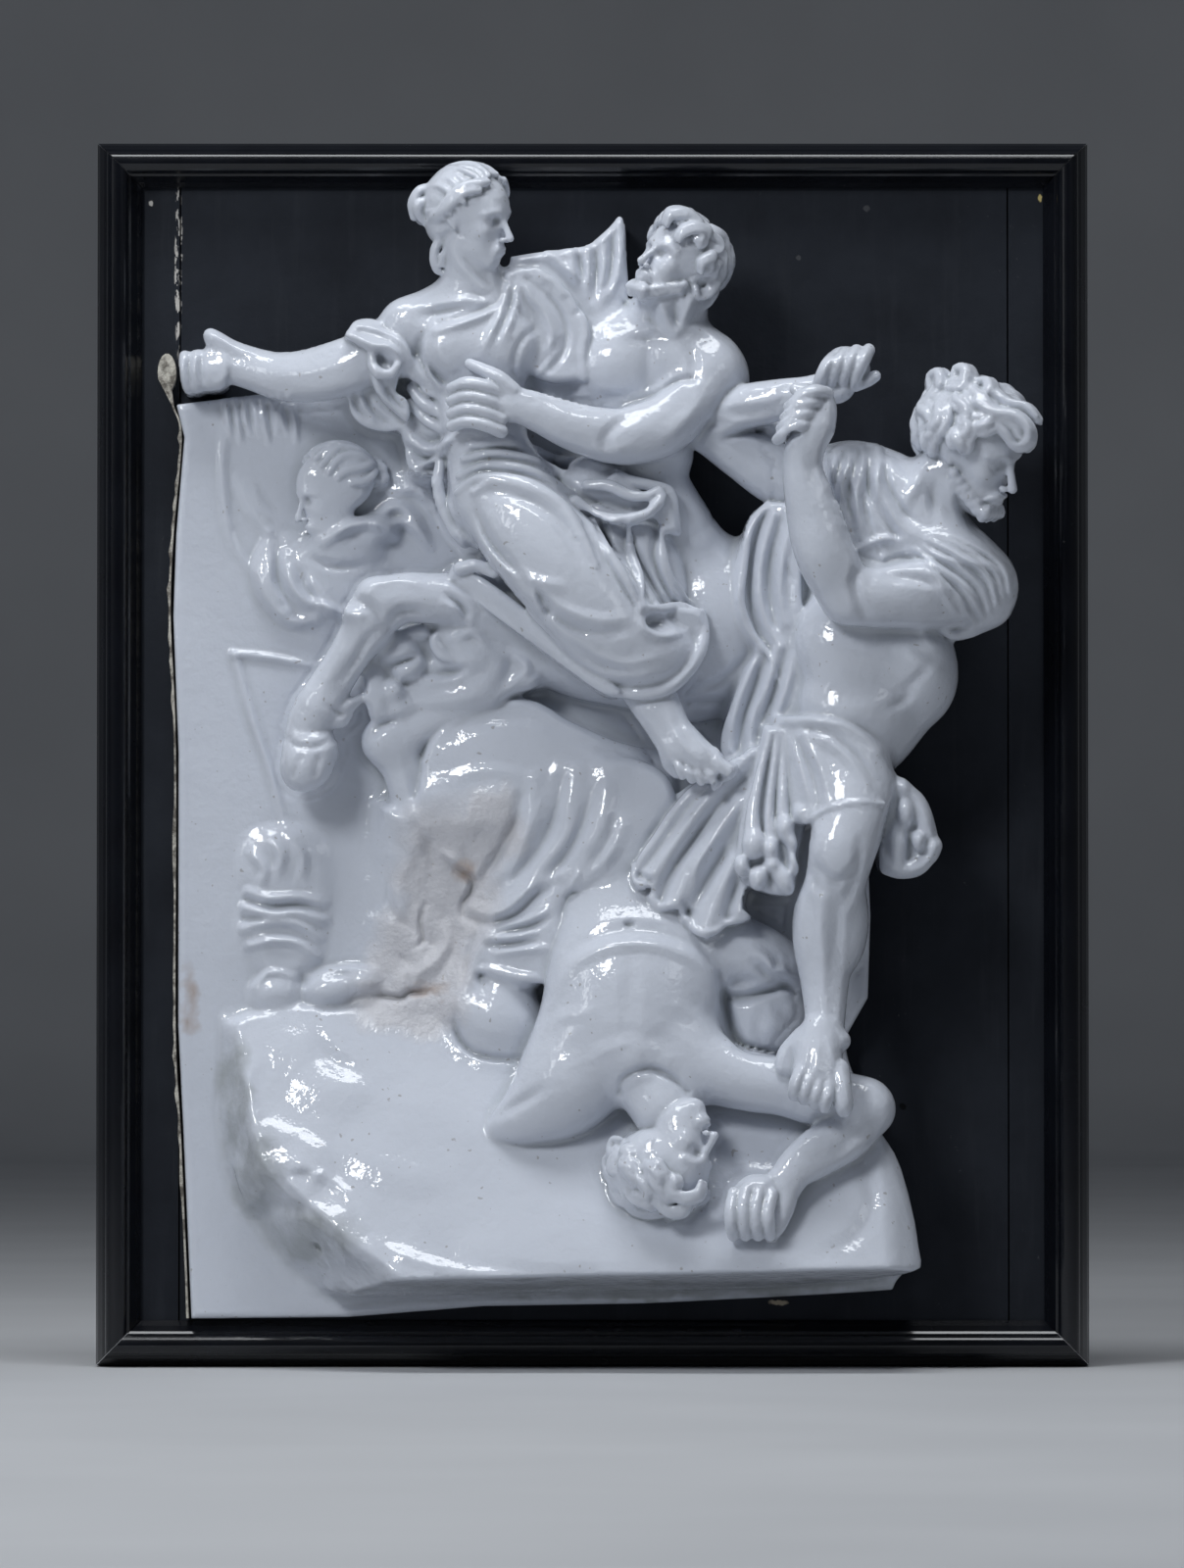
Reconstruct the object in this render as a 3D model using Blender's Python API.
"""A porcelain high relief on a painted board, in a black moulded frame, to hang on a wall.

The wall's face is the plane y = 0 and the front faces -Y. The origin is in the middle of the frame's
back. The relief is modelled in millimetres as (x, height, depth), depth counted forward from the board.
"""

import math

import bmesh
import bpy
import numpy as np
from mathutils import Matrix

FRAME_WIDTH = 0.365
FRAME_HEIGHT = 0.450
RAIL_WIDTH = 0.0165
FRAME_DEPTH = 0.024
BEAD_RADIUS = 0.0040  # the half-round bead along the moulding's front
BEAD_INWARD = 0.0078  # its middle, from the rail's outer edge
BOARD_DEPTH = 0.012
REBATE = 0.005  # how far the moulding's lip covers the board's edge
GAP = 0.0003  # between pieces that touch
JOINT = 0.0006  # open joint between the board's strips
LAP = 0.003  # how far a side strip's back half reaches behind the wide strip
LEFT_JOINT = -0.152
RIGHT_JOINT = 0.153

MM = 0.001
SLAB = 11.0  # thickness of the relief's ground, in mm
RELIEF_LOW = (-158, -212, -3)
RELIEF_HIGH = (168, 214, 92)
GRID = 2.5  # spacing of the clay's grid in mm
RELIEF_GAP = 0.6  # between the board and the back of the relief, in mm
RELIEF_TRIANGLES = 8200
PLASTER_DEPTH = 0.006
DAB_PLACE = (-156.6, 140)  # the plaster dab at the broken hand, (x, height) in mm
DAB_RADII = (3.4, 7)

GROUND_LEFT = [(-153, 128), (-150, 116), (-153, 80), (-154, 50), (-152, 0), (-152, -100), (-150, -140),
               (-147, -207.5)]

# ---------------------------------------------------------------- clay
FAR = 30.0  # a distance in mm beyond which the clay doesn't look


def spline(points, steps):
    """A smooth curve through the points, with this many steps between each two of them."""
    p = np.array(points, float)
    if len(p) < 3 or steps < 2:
        return p
    ends = np.vstack([2 * p[0] - p[1], p, 2 * p[-1] - p[-2]])
    t = np.linspace(0, 1, steps, endpoint=False)[:, None]
    curve = []
    for a, b, c, d in zip(ends[:-3], ends[1:-2], ends[2:-1], ends[3:]):
        bend = (2 * a - 5 * b + 4 * c - d) * t**2 + (3 * b - a - 3 * c + d) * t**3
        curve.append(0.5 * (2 * b + (c - a) * t + bend))
    return np.vstack(curve + [p[-1:]])


def lengths_along(path):
    return np.concatenate([[0], np.cumsum(np.linalg.norm(np.diff(path, axis=0), axis=1))])


def evenly(path, count):
    """The same curve as this many evenly spaced points."""
    s = lengths_along(path)
    t = np.linspace(0, s[-1], count)
    return np.column_stack([np.interp(t, s, path[:, k]) for k in range(path.shape[1])])


def melt(a, b, blend):
    """The union of two solids, with a fillet about as wide as blend where they meet."""
    if blend <= 0:
        return np.minimum(a, b)
    near = np.maximum(blend - np.abs(a - b), 0) / blend
    return np.minimum(a, b) - near * near * (blend / 4)


def turned(turn, lean, roll):
    """A solid's axes: long, across and out. turn is in the board's plane; lean tips the long axis out."""
    t, e, r = (math.radians(v) for v in (turn, lean, roll))
    along = np.array([math.cos(t) * math.cos(e), math.sin(t) * math.cos(e), math.sin(e)])
    across = np.array([-math.sin(t), math.cos(t), 0.0])
    out = np.cross(along, across)
    return np.array([along, across * math.cos(r) + out * math.sin(r),
                     out * math.cos(r) - across * math.sin(r)])


def swelling(path, taper):
    """How full a fold is along its path, from 0 to 1, with these shares at its two ends."""
    s = lengths_along(path)
    along = s / max(s[-1], 1e-9)
    full = np.sin(np.pi * np.clip(along, 0, 1)) ** 0.6
    return np.clip(np.maximum(full, np.where(along < 0.5, *taper)), 0.05, 1)


def outline_gap(x, z, edge):
    """Distance to a closed outline in the plane, negative inside it."""
    shape = np.broadcast(x, z).shape
    gap = np.full(shape, 1e6, np.float32)
    inside = np.zeros(shape, bool)
    for (ax, az), (bx, bz) in zip(edge[:-1], edge[1:]):
        ex, ez = bx - ax, bz - az
        size = ex * ex + ez * ez
        if size < 1e-9:
            continue
        t = np.clip(((x - ax) * ex + (z - az) * ez) / size, 0, 1)
        gap = np.minimum(gap, (x - ax - t * ex) ** 2 + (z - az - t * ez) ** 2)
        if abs(ez) > 1e-9:
            inside ^= ((az > z) != (bz > z)) & (x < ax + (z - az) * ex / ez)
    gap = np.sqrt(gap)
    return np.where(inside, -gap, gap)


class Clay:
    """Distances in mm to a solid's surface, negative inside, on a grid of places (x, height, depth)."""

    def __init__(self, low, high, step):
        self.step = step
        self.first = np.floor(np.array(low, float) / step).astype(int)
        self.count = np.ceil(np.array(high, float) / step).astype(int) - self.first + 1
        self.value = np.full(self.count, FAR, np.float32)

    def piece(self, low, high):
        """Fresh clay on a part of the same grid, to be joined when it is done."""
        ends = self.first + self.count - 1
        return Clay(np.maximum(low, self.first * self.step), np.minimum(high, ends * self.step),
                    self.step)

    def window(self, low, high):
        first = np.clip(np.floor(np.array(low) / self.step).astype(int) - self.first, 0, self.count)
        last = np.clip(np.ceil(np.array(high) / self.step).astype(int) + 1 - self.first, 0, self.count)
        cut = tuple(slice(a, max(a, b)) for a, b in zip(first, last))
        x, z, d = [((f + np.arange(s.start, s.stop)) * self.step).astype(np.float32)
                   for f, s in zip(self.first, cut)]
        return cut, x[:, None, None], z[None, :, None], d[None, None, :]

    def add(self, cut, shape, blend, hollow=False):
        shape = shape.astype(np.float32)
        if hollow:
            self.value[cut] = -melt(-self.value[cut], shape, blend)
        else:
            self.value[cut] = melt(self.value[cut], shape, blend)

    def lump(self, centre, radii, turn=0, lean=0, roll=0, blend=3.0, frame=None, hollow=False):
        """An ellipsoid, or the hollow that it leaves."""
        axes = turned(turn, lean, roll) if frame is None else frame
        c, r = np.array(centre, float), np.array(radii, float)
        reach = np.sqrt(axes.T**2 @ r**2) + blend + 2 * self.step
        cut, x, z, d = self.window(c - reach, c + reach)
        x, z, d = x - np.float32(c[0]), z - np.float32(c[1]), d - np.float32(c[2])
        size, slope = 0, 0
        for axis, radius in zip(axes.astype(np.float32), r.astype(np.float32)):
            q = (axis[0] * x + axis[1] * z + axis[2] * d) / radius
            size = size + q * q
            slope = slope + (q / radius) ** 2
        size = np.sqrt(size)
        self.add(cut, size * (size - 1) / np.sqrt(slope + 1e-9), blend, hollow)

    def tube(self, points, blend=2.0, steps=8, hollow=False):
        """A round tube through points (x, height, depth, radius), with smoothly changing radius."""
        path = spline(points, steps)
        margin = blend + 2 * self.step
        most = path[:, 3].max() + margin
        cut, x, z, d = self.window(path[:, :3].min(0) - most, path[:, :3].max(0) + most)
        near = np.full((x.size, z.size, d.size), FAR, np.float32)
        base = [s.start for s in cut]
        for a, b in zip(path[:-1], path[1:]):
            reach = max(a[3], b[3]) + margin
            inner, sx, sz, sd = self.window(np.minimum(a, b)[:3] - reach, np.maximum(a, b)[:3] + reach)
            inner = tuple(slice(s.start - o, s.stop - o) for s, o in zip(inner, base))
            ab = (b - a)[:3]
            sx, sz, sd = sx - np.float32(a[0]), sz - np.float32(a[1]), sd - np.float32(a[2])
            t = np.clip((sx * ab[0] + sz * ab[1] + sd * ab[2]) / max(ab @ ab, 1e-9), 0,
                        1).astype(np.float32)
            gap = np.sqrt((sx - t * ab[0]) ** 2 + (sz - t * ab[1]) ** 2 + (sd - t * ab[2]) ** 2)
            near[inner] = np.minimum(near[inner], gap - (a[3] + t * (b[3] - a[3])))
        self.add(cut, near, blend, hollow)

    def plate(self, outline, front, round_edge=3.0, blend=2.0, steps=4):
        """A solid with this closed outline, up to front: a depth, or a function of (x, height)."""
        edge = spline([*outline, outline[0]], steps)
        margin = blend + round_edge + 2 * self.step
        cut, x, z, d = self.window([*(edge.min(0) - margin), -50], [*(edge.max(0) + margin), 200])
        x, z = x[:, :, 0], z[:, :, 0]
        side = outline_gap(x, z, edge)
        top = front(x, z) if callable(front) else np.full(side.shape, front)
        self.add(cut, -melt(-side[:, :, None], top[:, :, None] - d, round_edge), blend)

    def front(self, x, z):
        """Depth of the front surface at these places."""
        places = [np.clip(np.round(np.asarray(v, float) / self.step).astype(int) - f, 0, n - 1)
                  for v, f, n in zip((x, z), self.first, self.count)]
        column = self.value[tuple(places)]
        last = column.shape[-1] - 1 - np.argmax(column[..., ::-1] < 0, axis=-1)
        last = np.minimum(last, column.shape[-1] - 2)
        inside = np.take_along_axis(column, last[..., None], -1)[..., 0]
        outside = np.take_along_axis(column, last[..., None] + 1, -1)[..., 0]
        share = np.clip(inside / (inside - outside - 1e-9), 0, 1)
        return np.where((column < 0).any(-1), (self.first[2] + last + share) * self.step, 0.0)

    def laid(self, points, radius, taper, steps):
        """A path on the front surface, and the radius along it."""
        path = spline(points, steps)
        full = swelling(path, taper)
        depth = np.convolve(np.pad(self.front(*path.T), 2, mode="edge"), np.ones(5) / 5, "valid")
        return path, depth, full, radius * full

    def roll(self, points, radius, proud=1.5, blend=1.5, taper=(0.3, 0.3), steps=5):
        """A round fold that lies on the surface and stands this much proud of it."""
        path, depth, full, r = self.laid(points, radius, taper, steps)
        self.tube(np.column_stack([path, depth + proud * full - r, r]), blend, 1)

    def lift(self, cut, rise):
        """Moves the front surface of these columns forward by rise, or back where rise is negative."""
        rise = np.pad(rise, 1, mode="edge")
        rise = (rise[:-2] + 2 * rise[1:-1] + rise[2:]) / 4
        rise = (rise[:, :-2] + 2 * rise[:, 1:-1] + rise[:, 2:]) / 4
        x, z, d = [(f + np.arange(s.start, s.stop)) * self.step for f, s in zip(self.first, cut)]
        gap = np.abs(d - self.front(x[:, None], z[None, :])[:, :, None])
        near = np.clip((8 - gap) / 3, 0, 1)
        self.value[cut] -= (rise[:, :, None] * near).astype(np.float32)

    def ridge(self, points, width, height, taper=(0.1, 0.1), sharp=0.3, steps=5):
        """A ridge this wide each side of a path on the front surface. A negative height is a valley."""
        path = spline(points, steps)
        full = swelling(path, taper)
        cut, x, z, _ = self.window([*(path.min(0) - width), -50], [*(path.max(0) + width), 200])
        x, z = x[:, :, 0], z[:, :, 0]
        rise = np.zeros(np.broadcast(x, z).shape, np.float32)
        for (ax, az), (bx, bz), fa, fb in zip(path[:-1], path[1:], full[:-1], full[1:]):
            ex, ez = bx - ax, bz - az
            t = np.clip(((x - ax) * ex + (z - az) * ez) / max(ex * ex + ez * ez, 1e-9), 0, 1)
            gap = np.sqrt((x - ax - t * ex) ** 2 + (z - az - t * ez) ** 2) / width
            gap = np.minimum(gap, 1)
            slope = sharp * (1 - gap) ** 1.5 + (1 - sharp) * (1 - gap**2) ** 2
            rise = np.maximum(rise, (fa + t * (fb - fa)) * slope)
        self.lift(cut, height * rise)

    def ridges(self, lines, width, height, taper=(0.1, 0.1), sharp=0.3):
        for line in lines:
            self.ridge(line, width, height, taper, sharp)

    def pleats(self, first, last, count, height, sway=0.2, ends=(0.1, 0.1), top=0.7, wave=7.0):
        """Cloth folds side by side between two curves. A small top makes broad folds and thin creases."""
        a, b = spline(first, 8), spline(last, 8)
        long = max(lengths_along(a)[-1], lengths_along(b)[-1])
        wide = np.linalg.norm(evenly(a, 12) - evenly(b, 12), axis=1).max()
        v = np.linspace(0, 1, int(2.4 * long / self.step) + 2)
        u = np.linspace(0, 1, int(2.4 * wide / self.step) + 2)[:, None]
        places = evenly(a, len(v)) * (1 - u[..., None]) + evenly(b, len(v)) * u[..., None]
        phase = count * u + sway * np.sin(wave * v + 5 * u)
        fold = np.abs(np.sin(np.pi * phase)) ** top * (0.8 + 0.2 * np.sin(2.9 * np.floor(phase)))
        along = np.maximum(np.sin(np.pi * v) ** 0.5, np.where(v < 0.5, *ends))
        side = np.clip(np.minimum(u, 1 - u) * count / 0.5, 0, 1)
        rise = height * (fold - 0.3) * along * side
        low, high = places.reshape(-1, 2).min(0) - self.step, places.reshape(-1, 2).max(0) + self.step
        cut = self.window([*low, -50], [*high, 200])[0]
        shape = [s.stop - s.start for s in cut[:2]]
        i, k = [np.round(places[...,
                                n] / self.step).astype(int) - self.first[n] - cut[n].start for n in (0,
                                    1)]
        inside = (i >= 0) & (i < shape[0]) & (k >= 0) & (k < shape[1])
        cell = (i * shape[1] + k)[inside]
        size = shape[0] * shape[1]
        total = np.bincount(cell, rise[inside], size)
        rise = (total / np.maximum(np.bincount(cell, minlength=size), 1)).reshape(shape)
        self.lift(cut, rise)

    def join(self, other, blend=1.0):
        start = other.first - self.first
        cut = tuple(slice(s, s + c) for s, c in zip(start, other.count))
        self.add(cut, other.value, blend)

    def back(self, slope, rear):
        """Fills in behind everything, drawing in by slope per mm of depth, and cuts the back flat."""
        for k in range(self.count[2] - 2, -1, -1):
            behind = self.value[:, :, k + 1] + slope * self.step
            self.value[:, :, k] = np.minimum(self.value[:, :, k], behind)
        depth = (self.first[2] + np.arange(self.count[2])) * self.step
        self.value = np.maximum(self.value, (rear - depth).astype(np.float32))


# ---------------------------------------------------------------- ground and figures, in mm
def rough(x, z, size, height, seed=0):
    """A gentle unevenness: a sum of a few waves that run in different directions."""
    out = 0
    for k in range(5):
        a = 1.9 * k + 0.7 * seed
        wave = (math.cos(a) * x + math.sin(a) * z) * (1 + 0.23 * k) / size
        out = out + np.sin(wave + 2.3 * k + np.sin(wave * 0.61 + a * 3 + z / (size * 2.1)))
    return out * height / 3


def facets(x, z, size, tilt, seed=0.0, soft=0.16):
    """Chipped ground: softly blended tilted planes, one round each scattered centre."""
    total, weights = 0.0, 1e-9
    for i in range(int(np.min(x) // size) - 1, int(np.max(x) // size) + 2):
        for j in range(int(np.min(z) // size) - 1, int(np.max(z) // size) + 2):
            px = size * (i + 0.5 + 0.42 * math.sin(12.9 * i + 78.2 * j + seed))
            pz = size * (j + 0.5 + 0.42 * math.sin(39.3 * i + 11.1 * j + seed))
            weight = np.exp(-((x - px) ** 2 + (z - pz) ** 2) / (soft * size * size))
            tip, lean = math.sin(5.1 * i + 7.7 * j + seed), math.cos(9.2 * i + 3.3 * j + seed)
            plane = tip * (x - px) + lean * (z - pz)
            total = total + weight * plane
            weights = weights + weight
    return tilt * total / weights


def ground(c):
    """The flat slab behind everything, broken off along its left edge and cut away on the right."""
    bottom = [(-90, -207), (-40, -203), (20, -202), (60, -200), (110, -197), (112, -188)]
    right = [(104, -150), (92, -106), (101, -90), (102, -60), (101, -35), (106, 0), (104, 40), (84, 66)]
    hole = [(58, 74), (44, 74), (37, 79), (31, 88), (27, 101)]
    top = [(12, 122), (-30, 136), (-80, 136), (-120, 132)]
    c.plate(GROUND_LEFT + bottom + right + hole + top, SLAB, round_edge=2, blend=0, steps=1)


def rock(c):
    """The ledge: a sloping top, and a streaked underside that falls back to the slab."""

    def front(x, z):
        top = 19 + 0.46 * (-95 - z) + 0.03 * x
        left = 58 + 1.9 * ((x + 96) * 0.75 + (z + 166) * 0.66)
        side = 42 + 2.2 * (x + 121)
        under = 62 + 5.5 * (z + 190 - 0.02 * x)
        corner = 58 - 1.2 * (x - 98) - 0.5 * (z + 150)
        front = melt(melt(melt(melt(top, left, 7), side, 7), under, 4), corner, 5)
        low_left = np.clip((-x - z - 225) / 40, 0.10, 1.3)
        chips = (facets(x, z, 21, 0.20) + facets(x, z, 9, 0.12, 3.0)) * low_left
        return front + rough(x, z, 34, 1.5) + rough(x, z, 13, 0.3, 2) + chips

    edge = [(-126, -97), (-107, -93), (-80, -95), (-55, -93), (-45, -108), (0, -110), (50, -108),
            (90, -118)]
    edge += [(104, -138), (112, -152), (118, -180), (113, -190), (60, -196), (0, -197), (-60, -199)]
    edge += [(-96, -197), (-118, -180), (-129, -160), (-136, -128), (-137, -104)]
    c.plate(edge, front, round_edge=3, blend=7, steps=3)
    c.ridges([[(-122, -100), (-112, -106), (-100, -104), (-88, -108)], [(-118, -118), (-108, -132),
        (-92, -142)],
              [(-60, -150), (-30, -160), (0, -158), (18, -168)], [(-96, -152), (-78, -166), (-58, -172),
                  (-30, -178)]],
             8, 1.7, (0.2, 0.2), 0.6)
    c.ridges([[(-104, -98), (-96, -112), (-84, -118)], [(-58, -126), (-36, -138), (-14, -142)],
              [(98, -150), (101, -165), (95, -176), (80, -183)], [(-110, -128), (-102, -140),
                  (-86, -150)],
              [(28, -185), (48, -187), (66, -185), (80, -189)], [(-40, -184), (-10, -187), (20, -184)]],
             6, -1.9, (0.2, 0.2), 0.7)
    # streaks along the underside, and the small hole in it
    for k in range(6):
        lean = 3.4 * k
        streak = [(-131 + 0.5 * lean, -118 - 0.4 * lean), (-127 + 0.6 * lean, -138 - 0.5 * lean),
                  (-116 + 0.7 * lean, -154 - 0.7 * lean), (-101 + 0.8 * lean,
                                                           -170 - 0.6 * lean), (-86 + lean,
                                                               -184 - 0.4 * lean)]
        c.ridge(streak, 2.6 - 0.15 * k, -1.3 if k % 2 else 1.2, (0.2, 0.3), 0.7)
    c.ridges([[(-122, -112), (-125, -120), (-124, -130), (-121, -140)], [(-112, -146), (-100, -153),
        (-90, -160), (-82, -172)],
              [(-78, -178), (-66, -184), (-48, -188), (-28, -190)]], 3.4, 1.3, (0.3, 0.3), 0.7)
    c.lump((-100, -181, 40), (3.2, 1.4, 9), turn=-48, blend=1.5, hollow=True)


def barrel(c):
    """The smooth mound behind the second foreleg, with a clear upper rim."""
    edge = [(-63, -4), (-58, 8), (-49, 15), (-33, 19), (-20, 18), (-8, 11), (8, 4), (27, -2), (24, -14),
            (0, -16)]
    edge += [(-20, -22), (-40, -26), (-60, -26)]

    def front(x, z):
        across = (x + 25) / 48
        down = (z + 12) / 34
        return 17 + 14 * np.sqrt(np.clip(1 - across**2 - down**2, 0, 1)) + rough(x, z, 8, 0.6, 4)

    c.plate(edge, front, round_edge=4, blend=2.5)
    c.ridges([[(-56, 2), (-46, 9), (-32, 13), (-18, 11), (-4, 4)]], 5, -1.4, (0.2, 0.2), 0.3)
    c.ridges([[(-10, 2), (4, -2), (18, -5)], [(-52, -10), (-36, -7), (-20, -11)]], 4, 1.2, (0.2, 0.2))
    c.ridges([[(-56, 6), (-48, 14), (-34, 18), (-20, 17)]], 2.4, 1.2, (0.3, 0.3), 0.5)


def stump(c):
    """Rough matte ground that rises gently from the slab, between the vase and the cloth."""

    def front(x, z):
        rise = 21 - 0.006 * np.maximum(-55 - x, 0) ** 2 + 0.10 * (x + 50) - 0.04 * (z + 50)
        return rise + rough(x, z, 9, 0.9, 2) + rough(x, z, 3.4, 0.25, 4) + facets(x, z, 10, 0.16, 1.0)

    edge = [(-78, -20), (-60, -14), (-44, -14), (-24, -12), (-16, -26), (-26, -60), (-34, -96),
            (-60, -97)]
    edge += [(-92, -98), (-90, -84), (-82, -66), (-80, -40)]
    c.plate(edge, front, round_edge=10, blend=9)
    c.ridges([[(-62, -30), (-70, -46), (-72, -62)], [(-50, -66), (-58, -78), (-70, -84)]], 5, 1.6,
             (0.3, 0.3), 0.3)
    c.ridges([[(-66, -26), (-60, -34), (-58, -44)], [(-76, -50), (-72, -60), (-64, -66)],
              [(-52, -60), (-50, -70), (-56, -80)]],
             3, -1.2, (0.2, 0.2), 0.6)


def horse(c):
    """The horse's body and its two forelegs, one bent clear of the ground and one tucked in."""
    p = c.piece((-125, -62, -2), (75, 112, 70))
    p.lump((38, 46, 12), (33, 36, 27), turn=-30, blend=8)
    p.lump((0, 46, 12), (50, 27, 26), turn=-16, blend=8)
    p.lump((-38, 52, 14), (26, 18, 24), blend=8)
    p.tube([(18, 112, 28, 15), (22, 96, 26, 14), (28, 78, 20, 18)], blend=8)
    p.tube([(-42, 55, 30, 10), (-58, 55.5, 33, 9.3), (-69, 55.5, 35, 9.2), (-77, 52, 35, 9.8)], blend=4)
    p.lump((-78, 55.5, 38), (8, 6.5, 7.5), turn=-40, blend=5)
    p.lump((-83, 47, 35), (8.5, 6.5, 8), turn=-55, blend=5)
    p.tube([(-82, 45, 34, 8.8), (-88, 36, 32, 7.6), (-92.5, 29, 30, 7.4), (-98, 20, 28, 7.8),
            (-102, 13, 27, 7.6)], blend=3)
    p.lump((-100, 16, 29), (8.5, 7.5, 7.5), turn=40, blend=4)
    p.tube([(-99, 16, 27, 5), (-93, 14.5, 29, 3.8), (-88, 17, 29, 2.6), (-85.5, 19, 28, 1.6)], blend=2)
    p.tube([(-97, 12, 28, 4), (-92, 11, 29, 2.8), (-89, 13, 28, 1.6)], blend=1.5)
    p.tube([(-104, 9, 27, 7.6), (-105, 3, 27, 8.0), (-104.5, 0, 27, 8.6)], blend=3)
    p.tube([(-102.5, 0.5, 27, 10.0), (-104.5, -5, 27, 9.6), (-107, -8.5, 26, 6.2)], blend=0.8)
    p.tube([(-40, 22, 18, 10), (-56, 13.5, 18, 8.4), (-68, 7, 18, 8.2), (-75, 4, 17, 8.0)], blend=5)
    p.lump((-76, 5, 20), (8, 7.5, 7), turn=30, blend=4)
    p.tube([(-74, 3, 17, 8.0), (-69, -6, 16, 8.2), (-66, -16, 15, 8.4), (-64, -30, 12, 8.6),
            (-63, -44, 8, 8.6)], blend=6)
    c.join(p, 1.5)
    c.ridges([[(-61, 60), (-70, 62), (-79, 60), (-85, 52)], [(-90, 38), (-95, 29), (-99, 21)]], 4, 0.9,
             (0.2, 0.2))
    c.ridges([[(-76, 45), (-82, 40), (-86, 33), (-92, 24)], [(-60, 50), (-70, 50), (-75, 44)],
              [(-87, 55), (-80, 52), (-76, 46)]],
             3.2, -1.5, (0.2, 0.2), 0.6)
    c.ridges([[(-94, 4.5), (-100, 1.5), (-107, 1.5), (-113, 5)], [(-100, -3), (-101, -9)],
              [(-106, -2), (-109, -9)]],
             2.0, -1.3, (0.6, 0.6), 0.8)
    c.ridges([[(-97, 17), (-91, 13.5), (-86, 17)], [(-99, 13), (-94, 9.5)]], 1.6, -1.2, (0.3, 0.3), 0.8)
    c.ridges([[(-70, 14), (-76, 10), (-82, 4)], [(-68, -2), (-65, -12), (-64, -22)]], 3, -1.2, (0.2, 0.2),
             0.5)
    c.ridges([[(28, 74), (34, 60), (36, 44), (33, 26)]], 9, -1.6, (0.2, 0.2), 0)
    c.ridges([[(33, 17), (40, 18), (48, 18)], [(36, 22), (46, 25), (56, 34)]], 2.6, -1.4, (0.2, 0.2), 0.7)


def mane(c):
    """Soft tufts under the horse's chest, a folded lappet and a broad smooth roll beside them."""
    edge = [(-84, 30), (-78, 38), (-70, 44), (-58, 46), (-46, 50), (-34, 46), (-24, 36), (-20, 24),
            (-36, 20), (-52, 18), (-68, 17), (-80, 20)]
    c.plate(edge, lambda x, z: 23 + 0.03 * (x + 50) + rough(x, z, 9, 0.8, 8), 6, 5)
    c.lump((-70.5, 36.5, 25), (8, 6.5, 8), turn=20, blend=3)
    c.lump((-63, 43.3, 25), (4.5, 2.6, 5.5), blend=2)
    c.lump((-67, 29.5, 25), (5.5, 3.6, 7), turn=30, blend=2.5)
    c.lump((-43.5, 35.5, 24), (11, 9, 9), turn=-12, blend=3)
    c.plate([(-49.5, 50.5), (-56.5, 45), (-59.4, 41), (-58.9, 36.6), (-55, 32.6), (-50, 33), (-46.5, 38),
             (-45, 46)],
            lambda x, z: 33 + 0.16 * (x + 52) + 0.1 * (z - 42), 2.5, 1.5)
    c.ridges([[(-56, 43), (-53, 38), (-50, 35)]], 3, -1.4, (0.3, 0.3), 0.3)
    c.tube([(-40, 44, 26, 2.6), (-35, 37, 27, 3.6), (-37, 28, 27, 3.8), (-46, 21.5, 26, 3.6),
            (-58, 19, 24, 3.2), (-67, 19.5, 22, 2.4)], blend=3)
    c.ridges([[(-52, 40), (-44, 43), (-38, 38)], [(-62, 25), (-54, 25.2), (-46, 27)],
              [(-30, 36), (-24, 30), (-30, 24)]], 2.8, 1.3, (0.3, 0.3), 0.4)
    c.ridges([[(-62, 29), (-54, 28.5), (-46, 30)], [(-75, 31), (-70, 32.5), (-64, 34)],
              [(-64, 39), (-60, 34), (-60, 29)],
              [(-66, 26), (-70, 24), (-72, 27)]], 2.4, -1.6, (0.3, 0.3), 0.6)
    c.tube([(-80, 29, 25, 2.6), (-79.4, 25, 27, 4.0), (-78.4, 19.5, 27, 5.0), (-78, 16, 25, 4.2)],
           blend=1.5)
    c.lump((-72.4, 22, 26), (3.2, 3.8, 5), blend=1.4)
    c.lump((-48, 52.5, 37), (4.6, 2.2, 6), turn=-42, blend=3, hollow=True)
    c.tube([(-52, 58.5, 39, 2), (-46.5, 55, 39, 2.2), (-43.5, 51, 38, 2), (-44.5, 47, 36, 1.6)], 1.5)


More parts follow.
